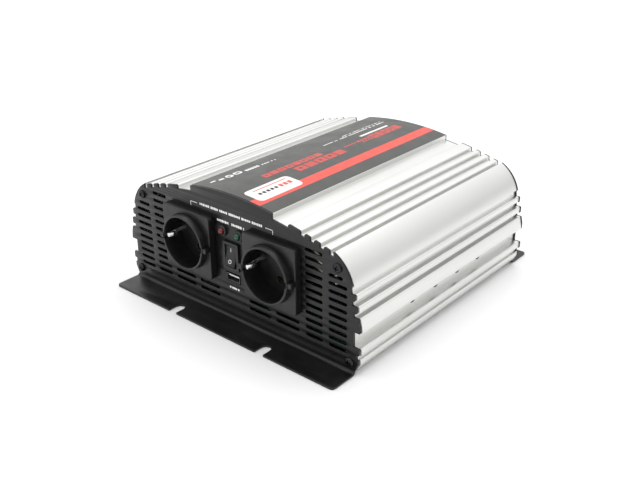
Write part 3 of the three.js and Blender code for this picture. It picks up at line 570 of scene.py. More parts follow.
def plated(name, color, low, high, scratch=0.004):
    """Plated or bare metal with light handling marks."""
    return textured(name, color, low, ((2.4, 4), 0.5, scaled(color, 0.78)), ((1.2, 4, (1, 5, 1)), low, high),
                    ((0.25, 3, (1, 4, 1)), scratch), metallic=1.0)


def lens(name, color):
    """Tinted translucent plastic."""
    return textured(name, color, 0.12, ((1.2, 2), 0.4, scaled(color, 0.6)), ((0.8, 2), 0.08, 0.2),
                    ((0.7, 2), 0.01), Transmission_Weight=0.55, IOR=1.49, Coat_Weight=0.4)


def board():
    """Solder mask over copper tracks."""
    f = Finish("circuit_board", (0.005, 0.045, 0.016), 0.4)
    tracks = f.tree.nodes.new("ShaderNodeTexBrick")
    tracks.inputs["Scale"].default_value = 120
    tracks.inputs["Mortar Size"].default_value = 0.012
    for socket, value in (("Color1", 0.2), ("Color2", 0.75), ("Mortar", 1.0)):
        tracks.inputs[socket].default_value = (value, value, value, 1)
    f.link(f.place, tracks.inputs["Vector"])
    f.tint(tracks.outputs["Color"], (0.012, 0.09, 0.03))
    f.rough(f.noise(4, 3), 0.28, 0.42)
    f.bump((tracks.outputs["Color"], 0.03))
    return f.material


def floor_paper():
    f = Finish("floor_paper", (0.94, 0.94, 0.94), 0.9)
    f.bump((f.noise(2, 2), 0.01))
    return f.material


FINISH = {
    # blasted and anodised extrusion, with fine die lines along its length
    "aluminium": textured(
        "aluminium", (0.762, 0.765, 0.745), 0.34, ((34, 3, (1, 2.5, 1)), 0.5, (0.707, 0.711, 0.697)),
        ((1.1, 3, (1, 90, 1)), 0.30, 0.40), ((0.5, 3, (1, 260, 1)), 0.004), ((0.16, 2), 0.006), metallic=1.0),
    # powder coat with fine orange peel
    "panel_black": textured(
        "panel_black", (0.0042, 0.0044, 0.0046), 0.36, ((26, 4), 0.6, (0.0064, 0.0066, 0.0068)),
        ((9, 4), 0.31, 0.41), ((0.9, 2), 0.022), ((0.22, 2), 0.008), Specular_IOR_Level=0.45),
    # printed film with a faint linen texture
    "label_film": textured(
        "label_film", (0.070, 0.070, 0.067), 0.38, ((45, 3), 0.5, (0.082, 0.082, 0.078)),
        ((12, 3), 0.34, 0.44), ((0.35, 2), 0.004), ((18, 2), 0.05), Specular_IOR_Level=0.34),
    "screw_black": plated("screw_black", (0.045, 0.045, 0.048), 0.3, 0.46),
    "socket_plastic": moulded("socket_plastic", (0.0052, 0.0053, 0.0056)),
    "spring_metal": plated("spring_metal", (0.80, 0.80, 0.78), 0.16, 0.28),
    "brass": plated("brass", (0.72, 0.50, 0.22), 0.24, 0.4),
    "zinc_steel": plated("zinc_steel", (0.62, 0.63, 0.65), 0.26, 0.42),
    "lamp_red": lens("lamp_red", (0.30, 0.006, 0.012)),
    "lamp_green": lens("lamp_green", (0.006, 0.13, 0.065)),
    "white_plastic": moulded("white_plastic", (0.75, 0.75, 0.73), 0.4, 0.5),
    "circuit_board": board(),
    "terminal_red": moulded("terminal_red", (0.38, 0.014, 0.012), 0.32, 0.45),
    "terminal_black": moulded("terminal_black", (0.014, 0.014, 0.014), 0.32, 0.45),
    "ferrite": textured("ferrite", (0.035, 0.034, 0.036), 0.62, ((0.6, 4), 0.8, (0.06, 0.058, 0.06)),
                        ((2, 4), 0.5, 0.75), ((0.5, 4), 0.06)),
    # amber tape wound over the coils
    "winding_tape": textured(
        "winding_tape", (0.42, 0.24, 0.05), 0.3, ((1.6, 3, (1, 1, 4)), 0.8, (0.3, 0.15, 0.03)),
        ((3, 3), 0.22, 0.4), ((0.9, 3, (6, 6, 1)), 0.12), Coat_Weight=0.3),
    "capacitor_sleeve": moulded("capacitor_sleeve", (0.012, 0.014, 0.03), 0.2, 0.34),
}
INK = {
    "red": ink("ink_red", (0.82, 0.098, 0.072)),
    "heading": ink("ink_heading", (0.60, 0.072, 0.058)),
    "white": ink("ink_white", (0.88, 0.88, 0.86)),
    "black": ink("ink_black", (0.02, 0.02, 0.02)),
}
SWITCH_PLASTIC = moulded("switch_plastic", (0.007, 0.0072, 0.0076), 0.34, 0.44)
BRIGHT_METAL = plated("bright_metal", (0.95, 0.90, 0.74), 0.3, 0.45)
DARK_METAL = plated("dark_metal", (0.17, 0.17, 0.175), 0.3, 0.42)


# ---- Pieces ----

def piece(name, mesh, finish, *stands_for, body="case", at=(0, 0, 0), turn=None, material=None):
    """Adds a piece that rides on a CAD body, takes a material slot and hides the CAD nodes it stands for."""
    mesh = mesh.copy()
    mesh.name = name
    mesh.transform(Matrix.Scale(MM, 4))
    mesh.materials.clear()
    mesh.materials.append(material or FINISH[finish])
    made = linked(name, mesh)
    made.matrix_world = Matrix.Translation(Vector(at) * MM) @ (turn or Matrix.Identity(4))
    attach(made, body)
    if stands_for:
        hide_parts(*stands_for)
    return made


def add_case():
    cover = extruded([filleted(mirrored(cover_outside() + cover_inside()))], -CASE_END, CASE_END)
    tray = extruded([filleted(mirrored(tray_half()))], -CASE_END, CASE_END)
    ring = lathed([(PORT["bore"], -CASE_END), (PORT["radius"], -CASE_END), (PORT["radius"], CASE_END),
                   (PORT["bore"], CASE_END)], 28)
    ports = lambda place: [moved(ring, sign * place[0], 0, place[1]) for sign in (-1, 1)]
    piece("cover", merged(cover, *ports(UPPER_PORT)), "aluminium", "upper_shell")
    piece("tray", merged(tray, *ports(LOWER_PORT)), "aluminium", "lower_tray")


def sliced(work, normal, places):
    """Adds edges where planes across the normal cut the mesh."""
    for place in places:
        geom = work.verts[:] + work.edges[:] + work.faces[:]
        bmesh.ops.bisect_plane(work, geom=geom, plane_co=Vector(normal) * place, plane_no=normal, dist=1e-5)


def bent_foot(mesh):
    """Bends the flat sheet below the bend line forward into a foot, as a press brake does."""
    outer = FOOT["bend"] + SHEET
    middle = FOOT["bend"] + SHEET / 2
    length = middle * pi / 2
    work = bmesh.new()
    work.from_mesh(mesh)
    sliced(work, (0, 0, 1), steps(outer, outer - length, 8))
    for vert in work.verts:
        along = outer - vert.co.z
        if along <= 0:
            continue
        angle = min(along / middle, pi / 2)
        radius = middle + vert.co.y + PANEL_FACE - SHEET / 2
        straight = max(0.0, along - length)
        vert.co.y = -PANEL_FACE - FOOT["bend"] + radius * cos(angle) - straight
        vert.co.z = outer - radius * sin(angle)
    bmesh.ops.recalc_face_normals(work, faces=work.faces)
    work.to_mesh(mesh)
    work.free()
    mesh.set_sharp_from_angle(angle=radians(38))
    return mesh


def sheet_outline(tips, roots):
    """The case's outline, with the side teeth moved in or out at their tips and at their roots."""
    corner_foot, corner_top = 66, 96
    outline = []
    for x, z, *rounding in [*cover_outside(), *tray_outside()]:
        if z < corner_foot and (x <= WALL_X or x == TRAY["waist"]):
            x += roots
        elif z < corner_foot:
            x = min(x + tips, WIDEST)
            rounding = [TOOTH_ROUND] if rounding else []
        elif x > CORNER["start"]:
            x += tips * min(1, (corner_top - z) / 20)
        outline.append((x, z, *rounding))
    return outline


def end_panel(holes, tips, roots):
    """One sheet with the outline of the whole case and a foot, drawn flat, pierced, then bent."""
    outer = FOOT["bend"] + SHEET
    bend_length = (FOOT["bend"] + SHEET / 2) * pi / 2
    tip = outer - bend_length - (FOOT["reach"] - FOOT["bend"])
    notch_root = tip + FOOT["reach"] - NOTCH["depth"] - NOTCH["width"] / 2
    r = NOTCH["width"] / 2
    nx = NOTCH["x"]
    half = [
        *sheet_outline(tips, roots),
        (113.5, outer, 0.4),
        (FOOT["half_width"], outer - 0.6, 0.4),
        (FOOT["half_width"], tip, FOOT["corner"]),
        (nx + r, tip, 0.5),
        *arc(nx, notch_root, r, 0, pi, 10),
        (nx - r, tip, 0.5),
        (0, tip),
    ]
    ports = [circle(2, sign * x, z, 20) for x, z in (UPPER_PORT, LOWER_PORT) for sign in (-1, 1)]
    mesh = extruded([filleted(mirrored(half)), *ports, *holes], -PANEL_FACE, -CASE_END, 0.18)
    return bent_foot(mesh)


def front_holes():
    holes = []
    for i in range(INNER_SLOTS["count"]):
        z = INNER_SLOTS["top"] - i * SLOT_PITCH
        holes += both_sides(slot(INNER_SLOTS["x0"], INNER_SLOTS["x1"], z))
    for i in range(OUTER_SLOTS["count"]):
        short = OUTER_SLOTS["first_short"] if i == 0 else 0
        z = OUTER_SLOTS["top"] - i * SLOT_PITCH
        holes += both_sides(slot(OUTER_SLOTS["x0"], OUTER_SLOTS["x1"] - short, z))
    for z in LOW_SLOTS["heights"]:
        for x0, x1 in LOW_SLOTS["spans"]:
            holes += both_sides(slot(x0, x1, z))
    holes += [circle(SOCKET["barrel"] + 0.3, sign * SOCKET["x"], SOCKET["z"]) for sign in (-1, 1)]
    holes += [circle(LAMP["hole"], sign * LAMP["x"], LAMP["z"], 24) for sign in (-1, 1)]
    holes.append(rectangle(SWITCH["width"] - 2.8, SWITCH["height"] - 2.2, 0, SWITCH["z"]))
    holes.append(rectangle(*USB["cut"], 0, USB["z"], 0.6))
    return holes


def grille_arc(ring, middle):
    """One curved opening of the fan grille, between two spokes."""
    r0, r1 = ring
    reach = pi / GRILLE["spokes"]
    gap = lambda r: asin(GRILLE["spoke"] / 2 / r)
    ends = lambda r: (middle - reach + gap(r), middle + reach - gap(r))
    return arc(0, FAN["z"], r1, *ends(r1), 14) + arc(0, FAN["z"], r0, *reversed(ends(r0)), 10)


def rear_holes():
    quarters = [i * 2 * pi / GRILLE["spokes"] for i in range(GRILLE["spokes"])]
    holes = [grille_arc(ring, middle) for ring in GRILLE["rings"] for middle in quarters]
    h = FAN["hole"]
    holes += [circle(2, dx, FAN["z"] + dz, 20) for dx in (-h, h) for dz in (-h, h)]
    holes += [circle(TERMINAL["sleeve"] + 0.3, sign * TERMINAL["x"], TERMINAL["z"], 32) for sign in (-1, 1)]
    for z in REAR_SLOTS["heights"]:
        holes += both_sides(slot(REAR_SLOTS["x0"], REAR_SLOTS["x1"], z))
    return holes


def add_panels():
    piece("front_plate", end_panel(front_holes(), **FRONT_TEETH), "panel_black", "front_panel")
    rear = moved(end_panel(rear_holes(), **REAR_TEETH), turn=pi)
    piece("rear_plate", rear, "panel_black", "rear_panel")


def on_arch(outlines, low, high, step=3.0):
    """Flat (x, y) outlines laid on the arch of the case, between two heights above it."""
    mesh = extruded(outlines, low, high, axis="Z")
    across = [x for outline in outlines for x, _ in outline]
    work = bmesh.new()
    work.from_mesh(mesh)
    lines = ceil((max(across) - min(across)) / step)
    sliced(work, (1, 0, 0), steps(min(across), max(across), max(2, lines))[1:-1])
    for vert in work.verts:
        vert.co.z += arch_z(vert.co.x)
    work.to_mesh(mesh)
    work.free()
    return cleaned(mesh)


def patch(x0, x1, y0, y1, radius=0.0):
    """An outline on the label, whose y counts from the front panel's face."""
    middle = (y0 + y1) / 2 - PANEL_FACE
    return rectangle(x1 - x0, y1 - y0, (x0 + x1) / 2, middle, radius)


def blocks(x0, x1, y0, y1, count, gap, eyes=True):
    """A heading drawn as plain blocks, some of them with an eye, that holds no lettering."""
    outlines = []
    pitch = (y1 - y0 + gap) / count
    for i in range(count):
        start = y0 + i * pitch
        end = start + pitch - gap
        outlines.append(patch(x0, x1, start, end, 0.6))
        if eyes and i % 3 != 1:
            eye = (end - start) * 0.14
            middle = (start + end) / 2
            outlines.append(patch(x0 + (x1 - x0) * 0.3, x0 + (x1 - x0) * 0.62, middle - eye, middle + eye))
    return outlines


def small_print(x0, x1, y0, y1, glyph=1.5):
    """A line of small print along Y, as plain dashes."""
    outlines = []
    y = y0
    while y < y1:
        wide = min(glyph * rng.uniform(0.6, 1.6), y1 - y)
        if wide > 0.3:
            outlines.append(patch(x0, x1, y, y + wide))
        y += wide + glyph * rng.choice((0.35, 0.35, 0.35, 1.2))
    return outlines


def add_label():
    film_top, ink_top = LABEL["thickness"], LABEL["thickness"] + 0.02
    length = 2 * PANEL_FACE
    half = LABEL["half_width"]
    sheet = patch(-half, half, SHEET, length - SHEET)
    piece("label", on_arch([sheet], 0, film_top, 2.6), "label_film", "top_label")

    def printed(name, outlines, color, low=film_top, high=ink_top):
        piece(name, on_arch(outlines, low, high), "label_film", material=INK[color])

    printed("label_stripe", [patch(19.0, 28.5, SHEET, length - SHEET)], "red")
    printed("label_badge", [patch(6.0, 25.0, 7.0, 52.0, 4.0)], "white", ink_top, ink_top + 0.03)
    badge = (ink_top + 0.02, ink_top + 0.08)
    printed("label_badge_line", [patch(9.2, 10.2, 14, 47.5)], "red", *badge)
    printed("label_badge_heading", blocks(13.6, 17.8, 35, 47.5, 3, 1.2, False), "red", *badge)
    printed("label_badge_print", blocks(14.2, 17.2, 14, 33, 5, 1.4, False), "black", *badge)
    printed("label_heading_1", blocks(-8.0, -1.8, 40, 105, 8, 1.0), "heading")
    printed("label_heading_2", blocks(0.5, 8.5, 66, 122, 5, 1.3), "heading")
    rows = blocks(-1.6, 1.4, 145, 162, 4, 0.9, False) + blocks(2.4, 4.6, 148, 162, 4, 0.9, False)
    rows += [*blocks(-3.2, 5.6, 163, 201, 5, 1.0), patch(-0.6, 0.8, 128, 144)]
    printed("label_heading_3", rows, "heading")
    printed("label_bar", [patch(-8.2, -5.6, 158, 196, 0.6)], "white")
    lines = small_print(-16.9, -15.5, 122, 140, 1.6) + small_print(-17.1, -15.5, 143, 203, 2.2)
    printed("label_small_print", lines + small_print(-20.2, -19.0, 150, 202, 1.7), "white")
    middle = lambda y: y - PANEL_FACE
    marks = [
        patch(-30.4, -28.6, 10, 15, 0.5), patch(-29.0, -26.6, 17, 22, 0.5),
        circle(3.2, -28.0, middle(27.6), 28), circle(1.5, -28.0, middle(27.6), 24),
        patch(-31.0, -25.2, 32.4, 40, 2.4), patch(-29.4, -26.8, 34.2, 38.2, 0.9),
        *blocks(-28.2, -24.6, 43, 57, 5, 0.7, False), *small_print(-26.8, -25.2, 60, 76, 1.8),
    ]
    printed("label_marks", marks, "white")


def screw_mesh(head, height, shank, length):
    """Domed cross-recess screw along Y: the head faces -Y and bears at y = 0."""
    dome = [(head * sin(a), -height * (0.35 + 0.65 * cos(a))) for a in steps(0, pi / 2, 7)]
    thread = []
    pitch = 0.7
    for i in range(int(length / pitch)):
        thread += [(shank, i * pitch + 0.1), (shank * 0.8, i * pitch + 0.45)]
    profile = [*dome, (head, -0.12), (head - 0.12, 0), *thread, (shank * 0.6, length), (0, length)]
    body = lathed(profile, 32)
    arm, blade, depth = head * 0.58, head * 0.13, -height * 0.3
    cross = [
        slab(-arm, arm, -height - 1, depth, -blade, blade, 0.05),
        slab(-blade, blade, -height - 1, depth, -arm, arm, 0.05),
    ]
    return carved(body, *cross, sharp=32)


def add_screws():
    panel = screw_mesh(3.4, 2.2, 1.42, 12)
    long_screw = screw_mesh(3.4, 2.2, 1.42, 14)
    side = screw_mesh(2.9, 1.8, 1.42, 6.5)
    spin = lambda: Matrix.Rotation(rng.uniform(0, pi / 2), 4, "Y")
    half_turn = Matrix.Rotation(pi, 4, "Z")
    (ux, uz), (lx, lz) = UPPER_PORT, LOWER_PORT
    for i, (x, z) in enumerate([(-ux, uz), (ux, uz), (-lx, lz), (lx, lz)], 1):
        piece(f"front_screw_{i}", panel, "screw_black", f"front_panel_screw_{i}",
              at=(x, -PANEL_FACE, z), turn=spin())
        piece(f"rear_screw_{i}", panel, "screw_black", f"rear_panel_screw_{i}",
              at=(x, PANEL_FACE, z), turn=half_turn @ spin())
    for side_name, sign in (("right", 1), ("left", -1)):
        for i in range(4):
            at = (sign * WALL_X, SIDE_SCREW["first"] + i * SIDE_SCREW["pitch"], SIDE_SCREW["z"])
            turn = Matrix.Rotation(sign * pi / 2, 4, "Z") @ spin()
            piece(f"{side_name}_seam_screw_{i + 1}", side, "screw_black",
                  f"{side_name}_side_screw_{i + 1}", at=at, turn=turn)
    h = FAN["hole"]
    for i, (x, z) in enumerate([(-h, h), (h, h), (-h, -h), (h, -h)], 1):
        piece(f"fan_fixing_{i}", long_screw, "screw_black", f"fan_screw_{i}",
              at=(x, PANEL_FACE, FAN["z"] + z), turn=half_turn @ spin())


# ---- Mains sockets ----

SOCKET_FRONT = -PANEL_FACE - SOCKET["rim"]
SOCKET_FLOOR = SOCKET_FRONT + SOCKET["depth"]
SOCKET_BACK = SOCKET_FLOOR + SOCKET["floor"]


def well_outline():
    """Inside of the recess: a circle with a groove at each side for the earth clip."""
    r = SOCKET["recess"]
    high = CLIP["width"] / 2 + 0.4
    deep = CLIP["leg"] + CLIP["thickness"] + 0.05
    a = asin(high / r)
    right = arc(0, 0, r, -pi / 2, -a, 22) + [(deep, -high), (deep, high)] + arc(0, 0, r, a, pi / 2, 22)
    return right + [(-x, z) for x, z in reversed(right[1:-1])]


def socket_mesh():
    face = -PANEL_FACE - SOCKET["proud"]
    well = well_outline()
    bezel = extruded([rectangle(SOCKET["bezel"], SOCKET["bezel"], 0, 0, SOCKET["corner"]),
                      circle(SOCKET["barrel"] + 0.1, count=72)], face, -PANEL_FACE, 0.7)
    collar = extruded([circle(SOCKET["collar"], count=96), well], SOCKET_FRONT, -PANEL_FACE, 0.55)
    barrel = extruded([circle(SOCKET["barrel"], count=72), well], -PANEL_FACE - 0.5, SOCKET_FLOOR + 0.4)
    pins = [circle(SOCKET["pin"], 0, sign * SOCKET["pitch"] / 2, 28) for sign in (-1, 1)]
    floor = extruded([circle(SOCKET["barrel"], count=72), *pins], SOCKET_FLOOR, SOCKET_BACK, 0.3)
    parts = [bezel, collar, barrel, floor]
    for sign in (-1, 1):
        x0, x1 = sorted((sign * (SOCKET["collar"] - 1), sign * SOCKET["bezel"] / 2))
        parts.append(slab(x0, x1, face - LUG["proud"], face + 1, -LUG["half"], LUG["half"], 0.4))
    for sign in (-1, 1):
        ramp = [circle(SOCKET["pin"] + 1.3, 0, sign * SOCKET["pitch"] / 2, 32),
                circle(SOCKET["pin"] + 0.2, 0, sign * SOCKET["pitch"] / 2, 28)]
        parts.append(extruded(ramp, SOCKET_FLOOR - 0.6, SOCKET_FLOOR + 0.4, 0.25))
    return merged(*parts)


def clip_mesh():
    """One bent strip: across behind the recess, forward along both sides, hooked in at the front."""
    tip = SOCKET_FRONT + CLIP["tip"]
    leg, back = CLIP["leg"], SOCKET_BACK + 0.9
    line = [(leg - 1.6, tip + 9.6), (leg - 3.5, tip + 5.4), (leg - 3.4, tip + 3.6), (leg - 1.8, tip + 0.4),
            (leg - 0.9, tip), (leg - 0.2, tip + 0.4), (leg, tip + 1.3), (leg, back)]
    line = line + [(-x, y) for x, y in reversed(line)]
    return ribbon(line, CLIP["thickness"], CLIP["width"], 0.9)


def add_sockets():
    housing, clip = socket_mesh(), clip_mesh()
    start = SOCKET_BACK + 0.1
    end = start + 15
    sleeve = lathed([(2.5, start), (3.0, start), (3.3, start + 0.3), (3.3, end), (2.5, end)], 32)
    notch = slab(-0.4, 0.4, start - 1, start + 10, -4, 4, 0.1)
    sleeve = carved(sleeve, notch)
    for side, sign in (("left", -1), ("right", 1)):
        at = (sign * SOCKET["x"], 0, SOCKET["z"])
        piece(f"{side}_socket", housing, "socket_plastic", f"{side}_socket_housing", at=at)
        piece(f"{side}_earth_clip", clip, "spring_metal", f"{side}_earth_bracket", at=at)
        for where, dz in (("upper", 1), ("lower", -1)):
            place = (at[0], 0, SOCKET["z"] + dz * SOCKET["pitch"] / 2)
            piece(f"{side}_{where}_sleeve", sleeve, "brass", f"{side}_{where}_contact", at=place)


# ---- Lamps, switch and USB port ----

def add_lamps():
    face = -PANEL_FACE
    tip = face - 4.2
    r = LAMP["lens"]
    dome = [(r * cos(a), tip + r - r * sin(a)) for a in steps(pi / 2, 0, 8)]
    lens_mesh = lathed([*dome, (r, face + 2), (2.9, face + 2), (2.9, face + 3), (0, face + 3)], 32)
    inner, ring = r + 0.15, LAMP["ring"]
    holder = lathed([
        (inner, face - 1.5), (inner + 0.25, face - 1.8), (ring - 0.9, face - 1.8), (ring - 0.35, face - 1.6),
        (ring, face - 1.0), (ring, face), (LAMP["hole"] - 0.15, face), (LAMP["hole"] - 0.15, face + 7),
        (3.1, face + 7), (3.1, face + 1.8), (inner, face + 1.8)], 40)
    for name, sign, color in (("fault", -1, "lamp_red"), ("power", 1, "lamp_green")):
        at = (sign * LAMP["x"], 0, LAMP["z"])
        piece(f"{name}_lens", lens_mesh, color, f"{name}_lamp", at=at)
        piece(f"{name}_lens_ring", holder, "socket_plastic", f"{name}_lamp_holder", at=at)


def add_switch():
    w, h = SWITCH["window"]
    face, back = -PANEL_FACE - SWITCH["proud"], -PANEL_FACE + 14
    window = rectangle(w, h, 0, 0, 0.3)
    rim = extruded([rectangle(SWITCH["width"], SWITCH["height"], 0, 0, 1.2), window], face, -PANEL_FACE, 0.4)
    body = extruded([rectangle(SWITCH["width"] - 3.2, SWITCH["height"] - 2.6, 0, 0, 0.4), window],
                    -PANEL_FACE - 0.5, back, 0.2)
    rear = slab(2.4 - SWITCH["width"] / 2, SWITCH["width"] / 2 - 2.4, back - 2, back - 0.2,
                2.2 - SWITCH["height"] / 2, SWITCH["height"] / 2 - 2.2, 0.2)
    piece("switch_frame", merged(rim, body, rear), "socket_plastic", "switch_housing",
          at=(0, 0, SWITCH["z"]), material=SWITCH_PLASTIC)
    add_rocker()


def add_rocker():
    """Two sloping faces that meet in a shallow dip, with round ends about the pivot."""
    radius, face, dip, heel = (ROCKER[key] for key in ("radius", "face", "dip", "heel"))
    edge, tail = asin(face / radius), asin(heel / radius)
    end = lambda a: (-radius * sin(a), radius * cos(a))
    rim = end(edge)
    bow, place = 1.7, 0.58
    surface = lambda t: -dip - (face - dip) * t ** bow
    hollow = [(surface(t), rim[1] * t) for t in steps(0, 1, 8)]
    upper = hollow[:-1] + [end(a) for a in steps(edge, -tail, 8)]
    outline = upper + [(heel + 1, 0)] + [(y, -z) for y, z in reversed(upper[1:])]
    body = extruded([outline], -ROCKER["width"] / 2, ROCKER["width"] / 2, 0.25, axis="X")
    pin_end = SWITCH["window"][0] / 2 + 0.5
    pin = lathed([(0, -pin_end), (0.8, -pin_end), (1, 0.2 - pin_end), (1, pin_end - 0.2), (0.8, pin_end),
                  (0, pin_end)], 20)
    pin = moved(pin, turn=pi / 2)
    at = (0, ROCKER["pivot"], SWITCH["z"])
    tilt = Matrix.Rotation(radians(-ROCKER["tilt"]), 4, "X")
    piece("rocker", merged(body, pin), "socket_plastic", "switch_rocker", body="rocker", at=at,
          turn=tilt, material=SWITCH_PLASTIC)
    slope = atan2(bow * place ** (bow - 1) * (face - dip), rim[1])
    ring = extruded([circle(1.5, 0, 0, 32), circle(1.05, 0, 0, 28)], -0.05, 0.05)
    bar = slab(-0.25, 0.25, -0.05, 0.05, -1.4, 1.4, 0.02)
    middle, depth = rim[1] * place, surface(place) - 0.04
    off_mark = moved(ring, 0, depth, -middle, -slope, "X")
    on_mark = moved(bar, 0, depth, middle, slope, "X")
    piece("rocker_marks", merged(off_mark, on_mark), "white_plastic", body="rocker", at=at, turn=tilt,
          material=INK["white"])


def add_usb():
    front = -PANEL_FACE - 0.4
    w, h, wall, depth = (USB[key] for key in ("width", "height", "wall", "depth"))
    outer = rectangle(w, h, 0, 0, 0.7)
    inner = rectangle(w - 2 * wall, h - 2 * wall, 0, 0, 0.4)
    shell = extruded([outer, inner], front, front + depth - 1, 0.12)
    back = extruded([outer], front + depth - 1.05, front + depth, 0.12)
    tongue = slab(-5.5, 5.5, -PANEL_FACE + 1, front + depth - 1, 0.3, 2.1, 0.2)
    pads = [slab(x - 0.5, x + 0.5, -PANEL_FACE + 1.5, -PANEL_FACE + 9, 0.18, 0.34, 0.04)
            for x in (-3.5, -1.2, 1.2, 3.5)]
    at = (0, 0, USB["z"])
    piece("usb_can", merged(shell, back), "spring_metal", "usb_shell", at=at,
          material=DARK_METAL)
    piece("usb_insert", tongue, "white_plastic", "usb_tongue", at=at)
    piece("usb_pads", merged(*pads), "brass", at=at)


def add_legends():
    """White print on the front panel, as plain marks without lettering."""
    high = -PANEL_FACE + 0.02
    low = high - 0.05
    marks = []

    def line(x0, x1, z, height, glyph, word):
        x = x0
        while x < x1:
            end = min(x1, x + word * rng.uniform(0.6, 1.3))
            while x < end:
                wide = min(glyph * rng.uniform(0.6, 1.1), x1 - x)
                if wide > 0.2:
                    marks.append(rectangle(wide, height * rng.choice((1, 1, 0.8)), x + wide / 2, z))
                x += wide + glyph * 0.22
            x += glyph * 0.7

    line(-31.6, 31.4, 86.5, 1.9, 1.6, 11)
    line(-13.8, -2.0, 79.0, 1.9, 1.6, 14)
    line(1.0, 13.5, 79.0, 1.9, 1.6, 14)
    for sign in (-1, 1):
        marks.append(rectangle(7, 0.5, sign * 38.0, 86.2))
        marks.append(rectangle(0.5, 3.2, sign * 41.25, 84.6))
    marks.append(rectangle(5.2, 1.5, 0.6, 27.4))
    marks += [circle(0.9, 0.6 + sign * 4.2, 27.4, 20) for sign in (-1, 1)]
    meshes = [extruded([mark], low, high) for mark in marks]
    piece("panel_legend", merged(*meshes), "panel_black", material=INK["white"])


# ---- Fan ----

FAN_FRONT = CASE_END - FAN["depth"]


def fan_frame_mesh():
    """Two square flanges joined by a round duct and corner tubes, and a motor plate on four struts."""
    y0, y1, size, bore, h = FAN_FRONT, CASE_END, FAN["size"], FAN["bore"], FAN["hole"]
    corners = [(dx, dz) for dx in (-h, h) for dz in (-h, h)]
    holes = [circle(2, x, z, 24) for x, z in corners]
    square = rectangle(size, size, 0, 0, 4)
    flange = [square, circle(bore, count=72), *holes]
    parts = [extruded(flange, start, start + 3, 0.3) for start in (y0, y1 - 3)]
    parts.append(extruded([circle(size / 2 - 0.1, count=72), circle(bore, count=72)], y0 + 2.8, y1 - 2.8))
    parts += [extruded([circle(3.4, x, z, 28), circle(2, x, z, 24)], y0 + 2.8, y1 - 2.8) for x, z in corners]
    plate = lathed([(1.9, y0), (FAN["hub"], y0), (FAN["hub"] + 0.5, y0 + 0.5), (FAN["hub"] + 0.5, y0 + 2.4),
                    (1.9, y0 + 2.4)], 56)
    strut = slab(FAN["hub"] - 1, bore + 0.5, y0, y0 + 2.4, -1.4, 1.4, 0.3)
    parts += [plate, *(moved(strut, turn=pi / 4 + i * pi / 2, axis="Y") for i in range(4))]
    return merged(*parts)


def fan_blade(turn):
    """A thin curved blade that leans round the hub and sweeps back towards its tip."""
    y0, y1 = FAN_FRONT + 3.2, CASE_END - 1.2
    root, thick, rows_out, rows_along = FAN["hub"] - 1, 1.3, 9, 8
    work = bmesh.new()
    sheets = []
    for side in (-1, 1):
        rows = []
        for r in steps(root, FAN["tip"], rows_out):
            row = []
            for along in steps(-0.5, 0.5, rows_along):
                edge = 1 - (2 * abs(along)) ** 4 * 0.75
                lean = 0.62 * along * (FAN["hub"] + 6) / (r * 0.5 + 8)
                angle = turn + lean - 0.012 * (r - FAN["hub"]) + side * thick / 2 * edge / r
                y = y0 + (along + 0.5) * (y1 - y0)
                row.append(work.verts.new((r * cos(angle), y, -r * sin(angle))))
            rows.append(row)
        sheets.append(rows)
    near, far = sheets
    for rows in sheets:
        for row, after in zip(rows, rows[1:]):
            for i in range(len(row) - 1):
                work.faces.new((row[i], row[i + 1], after[i + 1], after[i]))
    out, across = range(rows_out + 1), range(rows_along + 1)
    for loop in ([(0, i) for i in across], [(rows_out, i) for i in across],
                 [(j, 0) for j in out], [(j, rows_along) for j in out]):
        for (a, b), (c, d) in zip(loop, loop[1:]):
            work.faces.new((near[a][b], near[c][d], far[c][d], far[a][b]))
    mesh = bpy.data.meshes.new("blade")
    work.to_mesh(mesh)
    work.free()
    return cleaned(mesh)


def add_fan():
    at = (0, 0, FAN["z"])
    piece("fan_housing", fan_frame_mesh(), "socket_plastic", "fan_frame", at=at)
    back, hub = CASE_END - 0.8, FAN["hub"]
    core = lathed([
        (0, FAN_FRONT + 0.6), (1.7, FAN_FRONT + 0.6), (1.7, FAN_FRONT + 3), (hub, FAN_FRONT + 3),
        (hub, back - 1), (hub - 0.3, back - 0.3), (hub - 1, back), (9.4, back), (9.2, back - 0.3),
        (0, back - 0.3)], 56)
    blades = [fan_blade(i * 2 * pi / FAN["blades"]) for i in range(FAN["blades"])]
    piece("fan_wheel", merged(core, *blades), "socket_plastic", "fan_rotor", body="fan", at=at,
          material=SWITCH_PLASTIC)
    sticker = disc(8.8, back - 0.35, back - 0.2)
    arrow = extruded([[(4.2, -1.2), (7.0, -1.2), (5.6, 1.8)]], back - 0.22, back - 0.16)
    piece("fan_sticker", sticker, "label_film", body="fan", at=at, material=INK["white"])
    piece("fan_sticker_arrow", arrow, "label_film", body="fan", at=at, material=INK["black"])


# ---- Battery terminals ----

def threaded(radius, start, end, pitch=1.25):
    """Profile of a thread between two places along the axis."""
    turns, root = int((end - start) / pitch), radius * 0.85
    profile = []
    for i in range(turns):
        y = start + i * pitch
        profile += [(radius, y + 0.1), (radius, y + 0.25), (root, y + 0.65), (root, y + 0.8)]
    return profile


